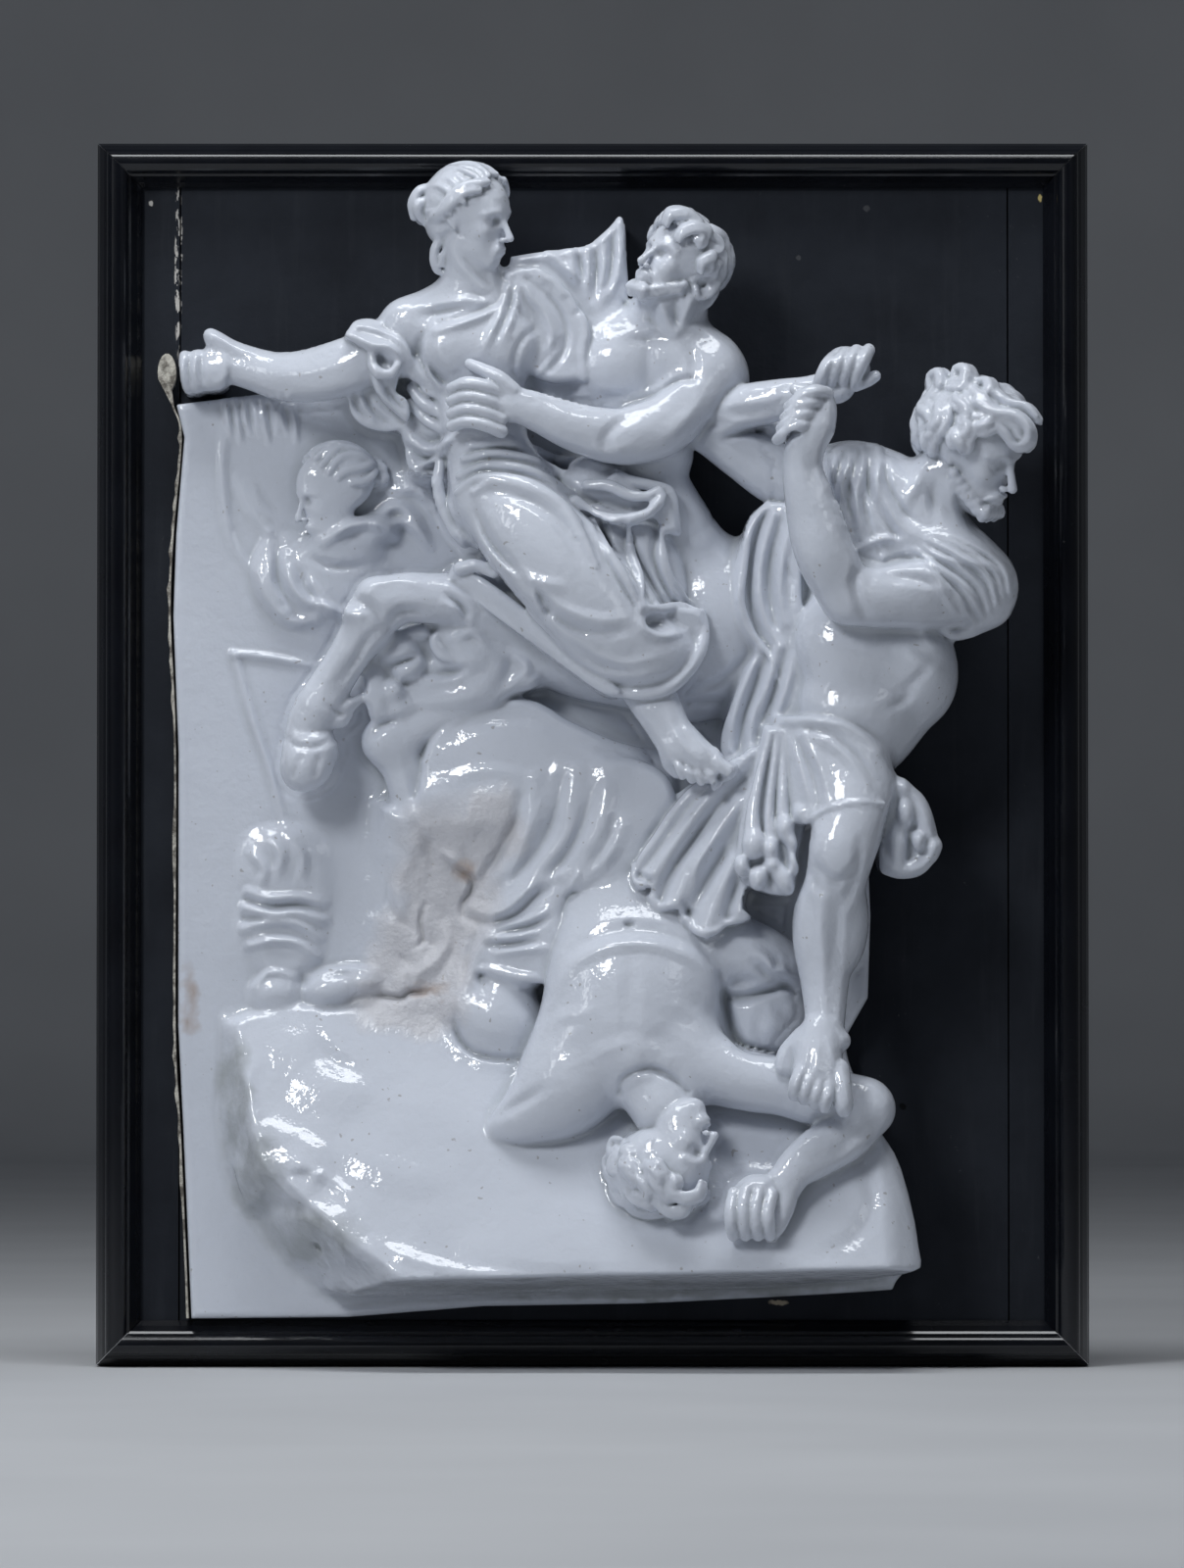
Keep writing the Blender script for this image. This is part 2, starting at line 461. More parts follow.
def middle_cloth(c):
    """Cloth spread over the ground between the stump and the fallen man, in soft slanting folds."""
    edge = [(-30, -10), (-16, -6), (-4, -4), (6, -3), (16, -3), (27, -9), (30, -20), (22, -31), (16, -44),
            (6, -51)]
    edge += [(-8, -52), (-10, -62), (-7, -70), (-12, -78), (-17, -84), (-27, -85), (-36, -82), (-42, -80),
             (-46, -86)]
    edge += [(-50, -94), (-54, -92), (-52, -78), (-50, -64), (-44, -50), (-36, -38), (-31, -24)]

    def front(x, z):
        fall = np.clip((x + 52 - 0.42 * (z + 60)) / 16, 0, 1)
        return 25 + 11 * fall + 0.26 * np.minimum(x + 5, 10) + rough(x, z, 11, 0.9, 6) + rough(x, z, 5,
            0.22, 3)

    c.plate(edge, front, 5, 6)
    soft = [[(-6, -8), (-8, -19), (-10, -30), (-18, -42), (-30, -52)], [(5, -14), (2, -28), (-5, -40),
        (-14, -50)],
            [(-16, -10), (-20, -24), (-28, -38), (-38, -50)], [(10, -30), (5, -39), (-2, -46)]]
    c.ridges(soft, 5.5, 2.6, (0.3, 0.3), 0.3)
    c.ridges([[(-11, -10), (-14, -24), (-21, -38), (-33, -50)], [(0, -14), (-4, -28), (-11, -40),
        (-20, -49)],
              [(8, -26), (4, -36), (-3, -44)], [(-26, -14), (-29, -28), (-37, -42),
                                                (-46, -54)]], 3.4, -2.0, (0.3, 0.3), 0.6)
    # the fold that sweeps across below them, and the small ones under it
    c.ridges([[(-45, -57), (-37, -59.5), (-29, -56), (-21, -49), (-12, -45)]], 5, 2.6, (0.4, 0.4), 0.4)
    c.ridges([[(-47, -60), (-38, -62.5), (-29, -60), (-21, -53), (-13, -48)]], 3, -2.8, (0.4, 0.3), 0.7)
    c.ridges([[(-39, -68.5), (-30, -68), (-21, -66)], [(-35, -74), (-26, -72.5), (-16, -72)],
              [(-34, -64), (-24, -62), (-15, -57)]],
             2.6, 1.6, (0.4, 0.3), 0.6)
    c.ridges([[(-39, -70.5), (-30, -70.5), (-20, -69)], [(-34, -66), (-25, -64.5), (-15, -61)],
              [(-42, -64), (-45, -74), (-48, -86)]],
             2.2, -1.7, (0.3, 0.3), 0.7)
    c.tube([(8, -3, 27, 1.8), (3, -8, 30, 2.6), (4, -14, 31, 2.6), (10, -18, 31, 2.4), (13, -14, 31, 2.2),
            (10, -10, 30, 1.8)], 2)
    c.tube([(14, -8, 29, 1.8), (20, -10, 31, 2.4), (24.5, -15, 31, 2.6), (24, -22, 31, 2.4),
            (19, -26, 30, 1.8)], 2)
    c.tube([(6, -21, 32, 1.8), (11.5, -25.5, 33, 2.4), (17.4, -30.5, 33, 2.4), (15.5, -38, 32, 2.4),
            (14.4, -46, 30, 2)], 1.6)
    # its raised rim over the fallen man, running on to the left
    rim = [(-5, -45), (-8.5, -51), (-10, -60), (-7.2, -69), (-12, -77.5), (-17, -82.5), (-26, -82),
           (-41, -79), (-45, -85), (-49, -92)]
    c.roll(rim, 1.9, 1.3, 1.4, (0.5, 0.4))
    c.ridges([[(-6.6, -60.5), (4, -56), (14, -50)]], 2.4, 1.6, (0.5, 0.5), 0.6)
    c.lump((-33, -99, 18), (17, 14, 14), turn=-25, blend=10)
    c.ridges([[(-51, -94), (-48, -106), (-39, -111.5), (-20, -113)]], 2.6, -1.6, (0.3, 0.3), 0.5)


def centaur(c):
    """The centaur's chest, his neck stretched back, and his near arm across the woman's waist."""
    p = c.piece((-60, 90, -2), (72, 200, 84))
    p.lump((14, 140, 24), (31, 24, 19), turn=-6, blend=8)
    p.lump((22, 115, 26), (15, 22, 16), turn=10, blend=8)
    p.lump((10, 141, 35), (15, 12, 10), turn=20, blend=5)
    p.lump((31, 141, 36), (13, 11, 10.5), turn=-20, blend=5)
    p.lump((44, 140, 31), (11.5, 14, 13.5), turn=22, blend=4)
    p.lump((50, 136, 27), (7, 10, 10), turn=10, blend=4)
    p.tube([(29, 146, 28, 15), (28, 157, 31, 14), (29, 166, 35, 13.5)], blend=6)
    arm = [(42, 137, 35, 12.5), (29, 121, 42, 11.6), (18, 115, 46, 11), (8, 113.5, 49, 10),
           (-6, 116.8, 52, 9)]
    p.tube(arm + [(-18, 121.4, 54, 7.4), (-27, 124.5, 55, 6.2)], blend=4)
    p.lump((-34, 126, 56), (9, 8, 4.5), turn=160, blend=3)
    c.join(p, 1.5)
    c.ridges([[(14, 151), (22, 153), (30, 152)], [(33, 154), (42, 152), (48, 147)]], 3.4, 0.9, (0.3, 0.3),
             0.3)
    c.ridges([[(10, 148), (20, 149.5), (29, 148.5)], [(20, 150), (20.5, 141), (19, 131)]], 3.8, -0.8,
             (0.2, 0.2), 0.2)
    c.ridges([[(31, 149), (36, 144), (37, 136), (33, 130)]], 3.4, -1.1, (0.2, 0.3), 0.4)
    c.ridges([[(18, 131), (10, 128.5), (0, 129)]], 3, -1.0, (0.2, 0.3), 0.4)
    c.ridges([[(12, 126), (22, 128.5), (32, 134), (40, 134.5)]], 2.2, -1.8, (0.3, 0.2), 0.6)
    c.ridges([[(24, 165), (26, 158), (30, 152)], [(37, 166), (34, 158), (31, 152)]], 3, 1.6, (0.3, 0.4),
             0.4)
    c.ridges([[(30, 166), (30, 158), (31, 154)], [(20, 160), (22, 155), (26, 151)]], 2.4, -1.5, (0.2, 0.3),
             0.5)
    c.ridges([[(14, 110), (6, 107), (-2, 109)], [(26, 112), (34, 120), (40, 128)]], 4, 1.0, (0.2, 0.2))
    c.ridges([[(16, 121), (9, 117), (4, 111), (7, 105.5)], [(-20, 128), (-8, 124), (4, 122)]], 3.5, -1.2,
             (0.2, 0.2), 0.3)


def woman(c):
    """Her body and her outstretched arm, whose fingers are broken off flat at the slab's edge."""
    p = c.piece((-156, 55, -2), (20, 214, 92))
    p.lump((-42, 148, 34), (21, 24, 18), turn=8, blend=6)
    p.lump((-40, 118, 36), (16, 22, 17), blend=8)
    p.lump((-32, 92, 36), (22, 20, 22), turn=-30, blend=8)
    p.lump((-52, 147, 44), (9, 9, 8), blend=8)
    p.lump((-32, 147, 44), (10, 10, 8), blend=9)
    p.tube([(-28, 166, 34, 10), (-45, 163, 34, 11), (-60, 157, 33, 11), (-70, 151, 33, 9.5)], blend=6)
    p.lump((-66, 155, 37), (11, 9, 9), turn=-28, blend=5)
    p.tube([(-43, 158, 36, 12), (-44, 168, 38, 10.5), (-44.5, 176, 40, 10), (-45, 184, 42, 10)], blend=6)
    upper = [(-68, 151, 34, 9.5), (-80, 144, 34, 10.2), (-92, 139.5, 32, 10.5), (-104, 137.2, 28, 9.8)]
    fore = [(-115, 137.5, 24, 8.6), (-124, 140, 21, 7.8), (-132, 141.8, 19, 7.2), (-138, 141, 18, 7.4)]
    p.tube(upper + fore, blend=3)
    p.tube([(-127, 143, 22, 5.2), (-133, 146.5, 22, 4.6), (-138, 150.5, 22, 3.7),
            (-139.8, 152.3, 22, 2.8)], blend=2.5)
    hand = [(-134, 147), (-140, 147.5), (-147, 147), (-151.2, 146), (-150.8, 138), (-149, 131.3),
            (-142, 131.8), (-134, 134)]
    p.plate(hand, lambda x, z: 25 - 0.05 * (z - 139) ** 2 + 0.15 * (x + 150), 2.2, 2.5, 3)
    c.join(p, 1.5)
    c.ridges([[(-149.3, 146), (-149.8, 139), (-148.5, 132)], [(-145, 147), (-145.6, 139), (-144.5, 132)]],
             1.8, 1.3, (0.5, 0.5), 0.7)
    c.ridges([[(-147.3, 147), (-147.8, 139), (-146.6, 131)], [(-142.6, 147), (-143, 140), (-141.6, 132)]],
             1.5, -1.4, (0.5, 0.5), 0.7)
    c.ridges([[(-136, 148), (-131, 144), (-126, 142)]], 3, -0.8, (0.2, 0.2))
    c.ridges([[(-84, 134), (-98, 131), (-110, 131)]], 5, 0.8, (0.2, 0.2))
    c.ridges([[(-88, 146), (-102, 143), (-114, 142)]], 6, -0.9, (0.2, 0.2), 0)
    c.ridges([[(-52, 182), (-46, 174), (-39, 167), (-36, 165)]], 3.2, 1.4, (0.3, 0.4), 0.3)
    c.ridges([[(-36, 182), (-36, 173), (-35, 167)]], 3, 0.8, (0.3, 0.3))
    c.ridges([[(-46, 166), (-40, 164.5), (-35, 165.5)], [(-48, 180), (-43, 173), (-38, 169)]], 2.6, -1.0,
             (0.3, 0.3), 0.5)
    c.ridges([[(-38, 164), (-48, 162.5), (-58, 162), (-66, 160)]], 3.2, 1.1, (0.3, 0.3), 0.4)
    c.ridges([[(-42, 160.5), (-52, 159.5), (-62, 156.5)], [(-60, 152), (-63, 146), (-62, 139)]], 3, -1.2,
             (0.2, 0.3), 0.4)


def woman_cloth(c):
    """The bodice, its ruffled edge, and the cloak that stands up behind in a peak."""
    cloak = [(-30, 180), (-22, 181.5), (-14, 182.6), (-7, 183.6), (-2, 184.6), (3, 188.5), (7, 192.5),
             (10.2, 195.4), (12, 190)]
    cloak += [(12.3, 180), (13, 168), (9, 160), (0, 155), (-6, 148), (-8, 138), (-20, 136), (-26, 150),
              (-30, 168)]
    c.plate(cloak, lambda x, z: 38 - 0.14 * (x + 20) - 0.10 * (z - 165), round_edge=3, blend=3)
    c.ridges([[(10.5, 193), (10, 182), (8, 170), (2, 162)], [(4, 186), (4.5, 176), (3, 167)],
              [(-2, 183), (-1.5, 175), (-2, 167)],
              [(-8, 182), (-7, 176), (-4, 170)], [(-16, 181), (-11, 177), (-5, 171)]], 3.2, 1.8, (0.6,
                  0.3), 0.3)
    c.ridges([[(7.4, 190), (7.2, 180), (5.4, 169)], [(0.8, 184), (1.4, 175), (0.6, 166)],
              [(-5, 181), (-4, 175), (-3, 168)]],
             2.4, -1.5, (0.5, 0.3), 0.6)
    lappet = [(-31, 174), (-25, 175), (-18.5, 174.5), (-13, 170.5), (-8.6, 165), (-5.6, 159.5),
              (-2.4, 155.5), (-1.4, 150), (-2.8, 143)]
    lappet += [(-2.2, 136), (-8, 134), (-16, 134), (-24, 140), (-28, 152), (-31, 164)]
    c.plate(lappet, lambda x, z: 43.5 - 0.10 * (x + 20) - 0.03 * (z - 155), round_edge=3, blend=3)
    hem = [(-29, 175), (-24.5, 173.6), (-20.5, 174.4), (-17, 171.8), (-13.5, 170), (-11.6, 167),
           (-8.8, 164.8), (-7, 161), (-4.8, 158.6)]
    hem += [(-3, 155), (-2.8, 150), (-3.8, 145), (-3.8, 140), (-3, 135)]
    c.roll(hem, 1.7, 0.9, 1.6, (0.6, 0.5))
    c.ridges([[(-24, 171), (-19, 168), (-14, 162.5), (-10.5, 156), (-9.5, 149), (-12, 142), (-18, 136)]],
             2.2, -1.8, (0.3, 0.3), 0.7)
    c.ridges([[(-26.5, 170), (-22, 165.5), (-17.5, 159), (-14.5, 150), (-16.5, 142), (-21, 137)]], 2.6,
             1.3, (0.4, 0.3), 0.4)
    c.ridges([[(-24, 168.5), (-22.5, 164), (-19, 160)], [(-28, 168), (-27, 163), (-24.5, 158)],
              [(-21, 171), (-17, 166)]],
             1.8, 1.1, (0.4, 0.3), 0.6)
    # the bodice drawn tight across the breasts
    c.ridges([[(-30, 172), (-32.5, 160), (-37, 150), (-40, 143)], [(-27, 168), (-29, 158), (-33, 147)]],
             2.8, 1.4, (0.5, 0.2), 0.4)
    c.ridges([[(-28.6, 168), (-30.8, 158), (-35, 148)], [(-20, 154), (-26, 148), (-28.5, 141),
                                                         (-28, 135)],
              [(-12, 149), (-17, 142), (-22, 136)]], 2.0, -1.1, (0.3, 0.2), 0.6)
    c.ridges([[(-31, 170), (-35, 162), (-45, 157.5), (-56, 154.5)]], 2.2, -1.6, (0.5, 0.6), 0.7)
    c.ridges([[(-31.5, 168), (-36.5, 159.5), (-46, 155), (-57, 151.5)]], 2.6, 1.7, (0.4, 0.5), 0.5)
    c.ridges([[(-60, 152), (-61.5, 143), (-58, 135), (-50, 129)], [(-56, 149), (-55, 142), (-50, 136)]],
             2.4, 1.2, (0.2, 0.3), 0.5)
    c.ridges([[(-60, 140), (-54, 134), (-46, 131)], [(-45, 141), (-40, 137), (-34, 136)]], 2.0, -1.0,
             (0.2, 0.2), 0.6)
    c.pleats([(-34, 132), (-20, 130), (-6, 131), (6, 129)], [(-30, 126), (-14, 126), (0, 124), (12, 122)],
             2, 1.2, 0.1)


def sleeve(c):
    """Cloth turned back round the upper arm, a twisted ribbon below it, and a hanging pouch."""
    c.plate([(-89.3, 130), (-87.6, 123.8), (-83, 119.4), (-75, 117.6), (-67, 118.6), (-64, 124),
             (-70, 134), (-80, 138), (-87, 134)],
            lambda x, z: 30 + 0.25 * (z - 118), 2.5, 2)
    c.roll([(-88.7, 129), (-87, 123.8), (-82.4, 119.8), (-75, 118), (-68, 118.8)], 1.7, 1.2, 1.0,
           (0.4, 0.4))
    c.ridges([[(-85, 131), (-83.5, 126), (-80, 121.5)], [(-81, 130), (-78, 124.6), (-72, 120.4)]], 2.2,
             1.7, (0.3, 0.4), 0.5)
    c.ridges([[(-83, 130), (-80.6, 125), (-75.6, 120.8)], [(-87, 130), (-85.6, 125), (-82, 121.6)]], 1.8,
             -1.6, (0.3, 0.4), 0.6)
    cuff = [(-90, 150.2), (-88.4, 153.8), (-86, 156.4), (-82, 157.2), (-78, 156.3), (-72.5, 152.5),
            (-68, 148), (-65.6, 143), (-66, 137)]
    cuff += [(-70, 135.5), (-74, 139), (-77, 142.6), (-80.4, 144.2), (-85, 147)]
    c.plate(cuff, lambda x, z: 47.5 - 0.055 * (z - 147) ** 2 - 0.04 * (x + 76), round_edge=2.5, blend=1.5)
    c.ridges([[(-88.5, 150.4), (-83, 148), (-79, 146.4), (-74, 146), (-70.4, 142.6), (-69.6, 138)]], 2.6,
             2.0, (0.5, 0.4), 0.4)
    c.ridges([[(-87.5, 152.6), (-81, 151.6), (-75, 150), (-70, 146), (-67.6, 141)],
              [(-84, 155), (-77, 153.6), (-71.6, 149.6)]],
             2.0, -1.3, (0.4, 0.3), 0.6)
    c.ridges([[(-86, 154.4), (-79, 153), (-73, 149.6), (-68.6, 145)]], 1.8, 1.1, (0.4, 0.3), 0.5)
    ribbon = [(-80.4, 140), (-79.8, 133), (-76.6, 127.8), (-72.5, 124), (-69, 120.4), (-67.4, 119.6),
              (-66.4, 123), (-67.6, 127.6)]
    ribbon += [(-71.4, 130.5), (-70.8, 134), (-70.4, 139), (-75, 142)]
    c.plate(ribbon, lambda x, z: 42 + 0.22 * (z - 130), 2, 1.2)
    c.tube([(-80, 143.6, 45, 1.8), (-79.6, 139.4, 46, 2.1), (-76.6, 136.6, 46.5, 2.1),
            (-73, 136.6, 46.5, 2.0), (-71.2, 139.4, 46.5, 1.8)], 1.5)
    c.lump((-75.8, 141, 51.5), (2.3, 3.4, 5.5), turn=-10, blend=2, hollow=True)
    c.ridges([[(-79, 136), (-77.8, 131), (-74, 126.4), (-69.2, 121.6)]], 2.0, 1.7, (0.4, 0.3), 0.5)
    c.ridges([[(-74, 134), (-74.6, 130.4), (-71.4, 127), (-68.2, 123.6)]], 2.0, -2.2, (0.3, 0.3), 0.7)
    # the next fold of the bodice beside the ribbon
    c.plate([(-67, 142), (-62, 143), (-57.5, 138), (-54.5, 132), (-55.6, 128), (-60, 129), (-64.5, 133),
             (-67.5, 137)],
            lambda x, z: 42.5 - 0.04 * (x + 62), 2.5, 2)
    c.ridges([[(-64.6, 141), (-61.4, 136), (-56.6, 131)]], 2.4, 1.6, (0.3, 0.4), 0.4)
    c.ridges([[(-66, 138), (-63, 133.6), (-58, 130)], [(-61, 142), (-58, 137), (-55, 133)]], 1.8, -1.5,
             (0.3, 0.3), 0.7)
    c.tube([(-66, 132, 36, 2.0), (-61.5, 126.5, 38, 2.4), (-55.5, 123, 40, 2.4), (-50, 120.5, 42, 2)],
           1.4)
    c.tube([(-66, 127, 34, 1.8), (-61, 121, 36, 2.2), (-55, 117.4, 39, 2.0), (-51, 115.6, 40, 1.8)], 1.4)
    # cloth tied below it
    c.plate([(-69, 114), (-64, 119), (-57, 121), (-50, 118), (-48, 108), (-50, 99), (-58, 100),
             (-67, 103)], 29, 3, 3)
    c.ridges([[(-67.5, 113.4), (-61.4, 109.6), (-55, 110.6), (-50, 113.4)],
              [(-65, 103.6), (-59.5, 105), (-55, 108.8), (-53.4, 112)]],
             2.4, 2.4, (0.4, 0.5), 0.5)
    c.ridges([[(-67, 110.6), (-61, 107.2), (-54.6, 108)], [(-62, 102.4), (-57, 104), (-52, 107)],
              [(-64, 116), (-58, 113), (-52, 115.6)]],
             2.0, -1.9, (0.3, 0.3), 0.7)
    c.tube([(-55, 123, 37, 1.6), (-53.4, 118, 38, 2.1), (-53.4, 112.4, 37, 2.0)], 1.2)
    c.tube([(-55.4, 105, 34, 2.0), (-56, 97, 35, 2.4), (-54.2, 88, 36, 2.3), (-50, 79, 36, 2)], 1.2)
    c.ridges([[(-53, 104), (-52.5, 95), (-49, 85)]], 2, -1.8, (0.3, 0.2), 0.7)


def skirt(c):
    """The skirt, tight over her thigh and knee, and hanging in a bowl round the shin."""
    p = c.piece((-62, 8, -2), (48, 116, 92))
    p.tube([(-36, 106, 34, 14), (-33, 96, 38, 16.5), (-26, 84, 44, 18.5), (-15, 70, 48, 19),
            (-3, 56, 49, 18.5), (8, 44, 47, 17.5)], blend=4)
    p.tube([(4, 46, 47, 17), (17, 36, 45, 16), (26, 35, 42, 12)], blend=4)
    p.tube([(0, 96, 33, 12), (12, 84, 33, 11.5), (20, 70, 33, 12), (24, 58, 33, 11)], blend=6)
    p.tube([(-45, 90, 34, 7.5), (-44, 80, 34, 7)], blend=4)
    c.join(p, 1.0)
    under = [(-51, 68), (-42, 64), (-28, 54), (-14, 42), (0, 31), (10, 21), (4, 20), (-12, 31), (-28, 43),
             (-44, 55), (-52, 62)]
    c.plate(under, lambda x, z: 40 + 0.24 * (x + 50), round_edge=2.5, blend=1)
    c.ridges([[(-48, 66), (-30, 53), (-12, 39), (4, 25)]], 3, 1.2, (0.4, 0.4), 0.3)
    c.ridges([[(-50, 62), (-36, 52), (-20, 39), (-4, 27)]], 2, -1.2, (0.4, 0.4), 0.6)
    c.tube([(-48, 66, 41, 2.6), (-42, 67, 43, 2.4), (-36, 64, 44, 1.8)], 1.2)
    # folds that run from the hip under his arm down to the lap
    hip = [((-44, 110), (-30, 111), (-14, 107), (0, 103.5), (10, 102)), ((-47, 105), (-34, 107.5),
        (-18, 104), (-6, 97), (4, 93))]
    hip += [((-49, 99), (-38, 103), (-22, 101), (-10, 94), (-2, 87)), ((-50, 93), (-41, 98.5), (-26, 97.5),
        (-13, 91), (-5, 82))]
    for k, line in enumerate(hip):
        c.roll(line, 2.8 - 0.2 * k, 2.3, 1.8, (0.3, 0.4))
    c.ridges([[(-46, 107), (-32, 109), (-16, 105.5), (-3, 100)], [(-48, 102), (-36, 105), (-20, 102.5),
        (-8, 95.5)],
              [(-49, 96), (-40, 100.5), (-24, 99), (-12, 92.5), (-4, 85)]], 1.6, -1.7, (0.2, 0.2), 0.8)
    c.roll([(-43, 93), (-36, 96.5), (-25, 94.5), (-13, 88.5), (-5, 78), (1, 66)], 2.6, 1.8, 2.2,
           (0.3, 0.2))
    c.ridges([[(-36, 92), (-25, 90), (-15, 84), (-8, 75), (-2, 64)]], 3.4, -1.6, (0.2, 0.2), 0.4)
    # the turned-over hem at the hip, and the short folds that hang from it
    over = [(-4, 95), (4, 98), (9, 101), (13, 97), (20, 93), (24, 95), (29, 94), (29, 88), (31, 80),
            (27, 79), (22, 84)]
    over += [(12, 83), (2, 86)]
    c.plate(over, lambda x, z: 47 - 0.05 * x, round_edge=2.5, blend=1.5)
    c.tube([(-6, 90, 48, 2.4), (1, 87, 50, 2.6), (9, 84, 51, 2.6), (17, 84.5, 51, 2.4),
            (23, 88.5, 50, 2.4), (25, 92, 48, 2)], 1.0)
    c.tube([(-2, 96, 47, 2), (6, 95.5, 49, 2.3), (13, 92, 50, 2.4), (19, 91.5, 50, 2.0),
            (24, 94, 48, 1.8)], 1.0)
    c.ridges([[(-2, 91.5), (6, 90), (13, 88), (19, 88)]], 2.6, -3.2, (0.3, 0.5), 0.6)
    c.ridges([[(-4, 89), (3, 87.4), (11, 86)]], 3.6, -2.8, (0.3, 0.4), 0.4)
    c.tube([(9, 101, 42, 1.4), (13, 98, 44, 2), (21, 96, 44, 2.2), (28, 93.5, 43, 2.2),
            (29.5, 86, 42, 2.2), (31, 79, 41, 1.4)], 1.0)
    c.tube([(24, 89, 45, 2), (26, 83, 44, 2.2), (30, 79.5, 42, 1.6)], 1.0)
    c.pleats([(-4, 84), (3, 71), (10, 59), (16, 48)], [(29, 80), (27, 69), (32, 59), (40, 51)], 4, 4.0,
             0.3, (0.7, 0.5), 0.8, 4)
    for line in ([(0, 84), (5, 72), (12, 61), (17, 50)], [(13, 82), (14, 71), (17, 62), (18, 52)],
                 [(25, 80), (25.5, 71), (28, 62), (36, 53)]):
        c.roll(line, 2.0, 2.2, 1.0, (0.5, 0.5))
    # the bowl of the hem round the shin
    rim = [(6, 22.5, 47, 2), (12, 20.5, 50, 2.2), (20, 20, 52, 2.4), (28, 22.5, 51, 2.6),
           (34.5, 28.5, 48, 2.6), (39, 36, 45, 2.6)]
    c.tube(rim + [(41, 43.5, 42, 2.4), (40, 50, 40, 2)], 1.5)
    c.lump((27, 45.5, 52), (9.5, 5.5, 9), turn=10, blend=3, hollow=True)
    c.roll([(17, 51.5), (24, 50.5), (32, 52), (39, 50)], 2.0, 1.6, 1.0, (0.5, 0.6))
    c.ridges([[(17, 50), (19, 43), (26, 40.5), (34, 43)]], 2.2, 1.4, (0.4, 0.4), 0.5)
    # long soft folds over the thigh and the shin
    c.ridges([[(-46, 88), (-40, 74), (-28, 60), (-16, 47), (-6, 36)], [(-21, 58), (-10, 50), (2, 46),
        (12, 47)],
              [(-12, 44), (0, 34), (12, 30), (24, 33)], [(-30, 66), (-20, 60), (-10, 58)], [(4, 28),
                  (14, 26.5), (24, 27.5)]],
             3.6, 1.5, (0.2, 0.2), 0.3)
    c.ridges([[(-42, 86), (-36, 74), (-24, 61)], [(-20, 53), (-8, 44), (4, 41), (14, 43)],
              [(-8, 38), (4, 30), (16, 27)],
              [(-48, 84), (-45, 76), (-40, 70)], [(-22, 57), (-16, 52), (-17, 46)]], 2.8, -1.6, (0.2,
                  0.2), 0.6)
    c.ridges([[(-23, 60), (-21, 55), (-20, 50)]], 2.2, 1.6, (0.6, 0.6), 0.3)


def hand_and_foot(c):
    """Her waist held by the centaur's fingers, and her bare foot below the hem."""
    for k in range(4):
        z = 131.5 - 4.6 * k
        c.tube([(-33, z - 3.0, 58, 2.6), (-39, z - 0.6, 60.2, 2.6), (-45.5, z + 0.6, 59.5, 2.5),
                (-51, z - 1.0, 55.5, 2.2)], blend=0.6)
    c.tube([(-29, 129.5, 58, 3.2), (-34, 134, 58.5, 2.9), (-39.5, 137, 56.5, 2.5),
            (-44.5, 139.5, 54, 2.0)], blend=0.8)
    p = c.piece((8, -18, 20), (56, 30, 92))
    p.tube([(19, 24, 40, 9.8), (25, 13, 44, 8.4), (29, 5, 46, 7.4), (31.5, 0, 47, 7.2)], blend=3)
    p.lump((29, 2, 50), (3, 3, 3), blend=2)
    p.tube([(33, 2, 47, 7), (38, -2.5, 49, 6.6), (42.5, -5, 49, 5.6)], blend=3)
    p.tube([(31, 0, 45, 5.6), (29.6, -4, 45, 4.6), (31, -7, 45, 3.6)], blend=2.5)
    toes = [((31.5, -6.8), (32.5, -9.6), 1.7), ((34.8, -7.8), (36, -10.9), 1.8),
            ((38.2, -8.2), (39.6, -11.7), 1.9),
            ((41.8, -8.0), (43.4, -11.2), 2.0), ((45.0, -5.2), (48.8, -7.6), 2.7)]
    for near, tip, size in toes:
        p.tube([(near[0] - 1.5, near[1] + 3.5, 51, size), (*near, 52.6, size * 1.08), (*tip, 51.4, size)],
               blend=0.5)
    c.join(p, 1.0)
    c.ridges([[(30, 8), (33, 1), (38, -4)], [(27, 13), (30, 5), (33, 0)]], 2, 0.7, (0.3, 0.3))


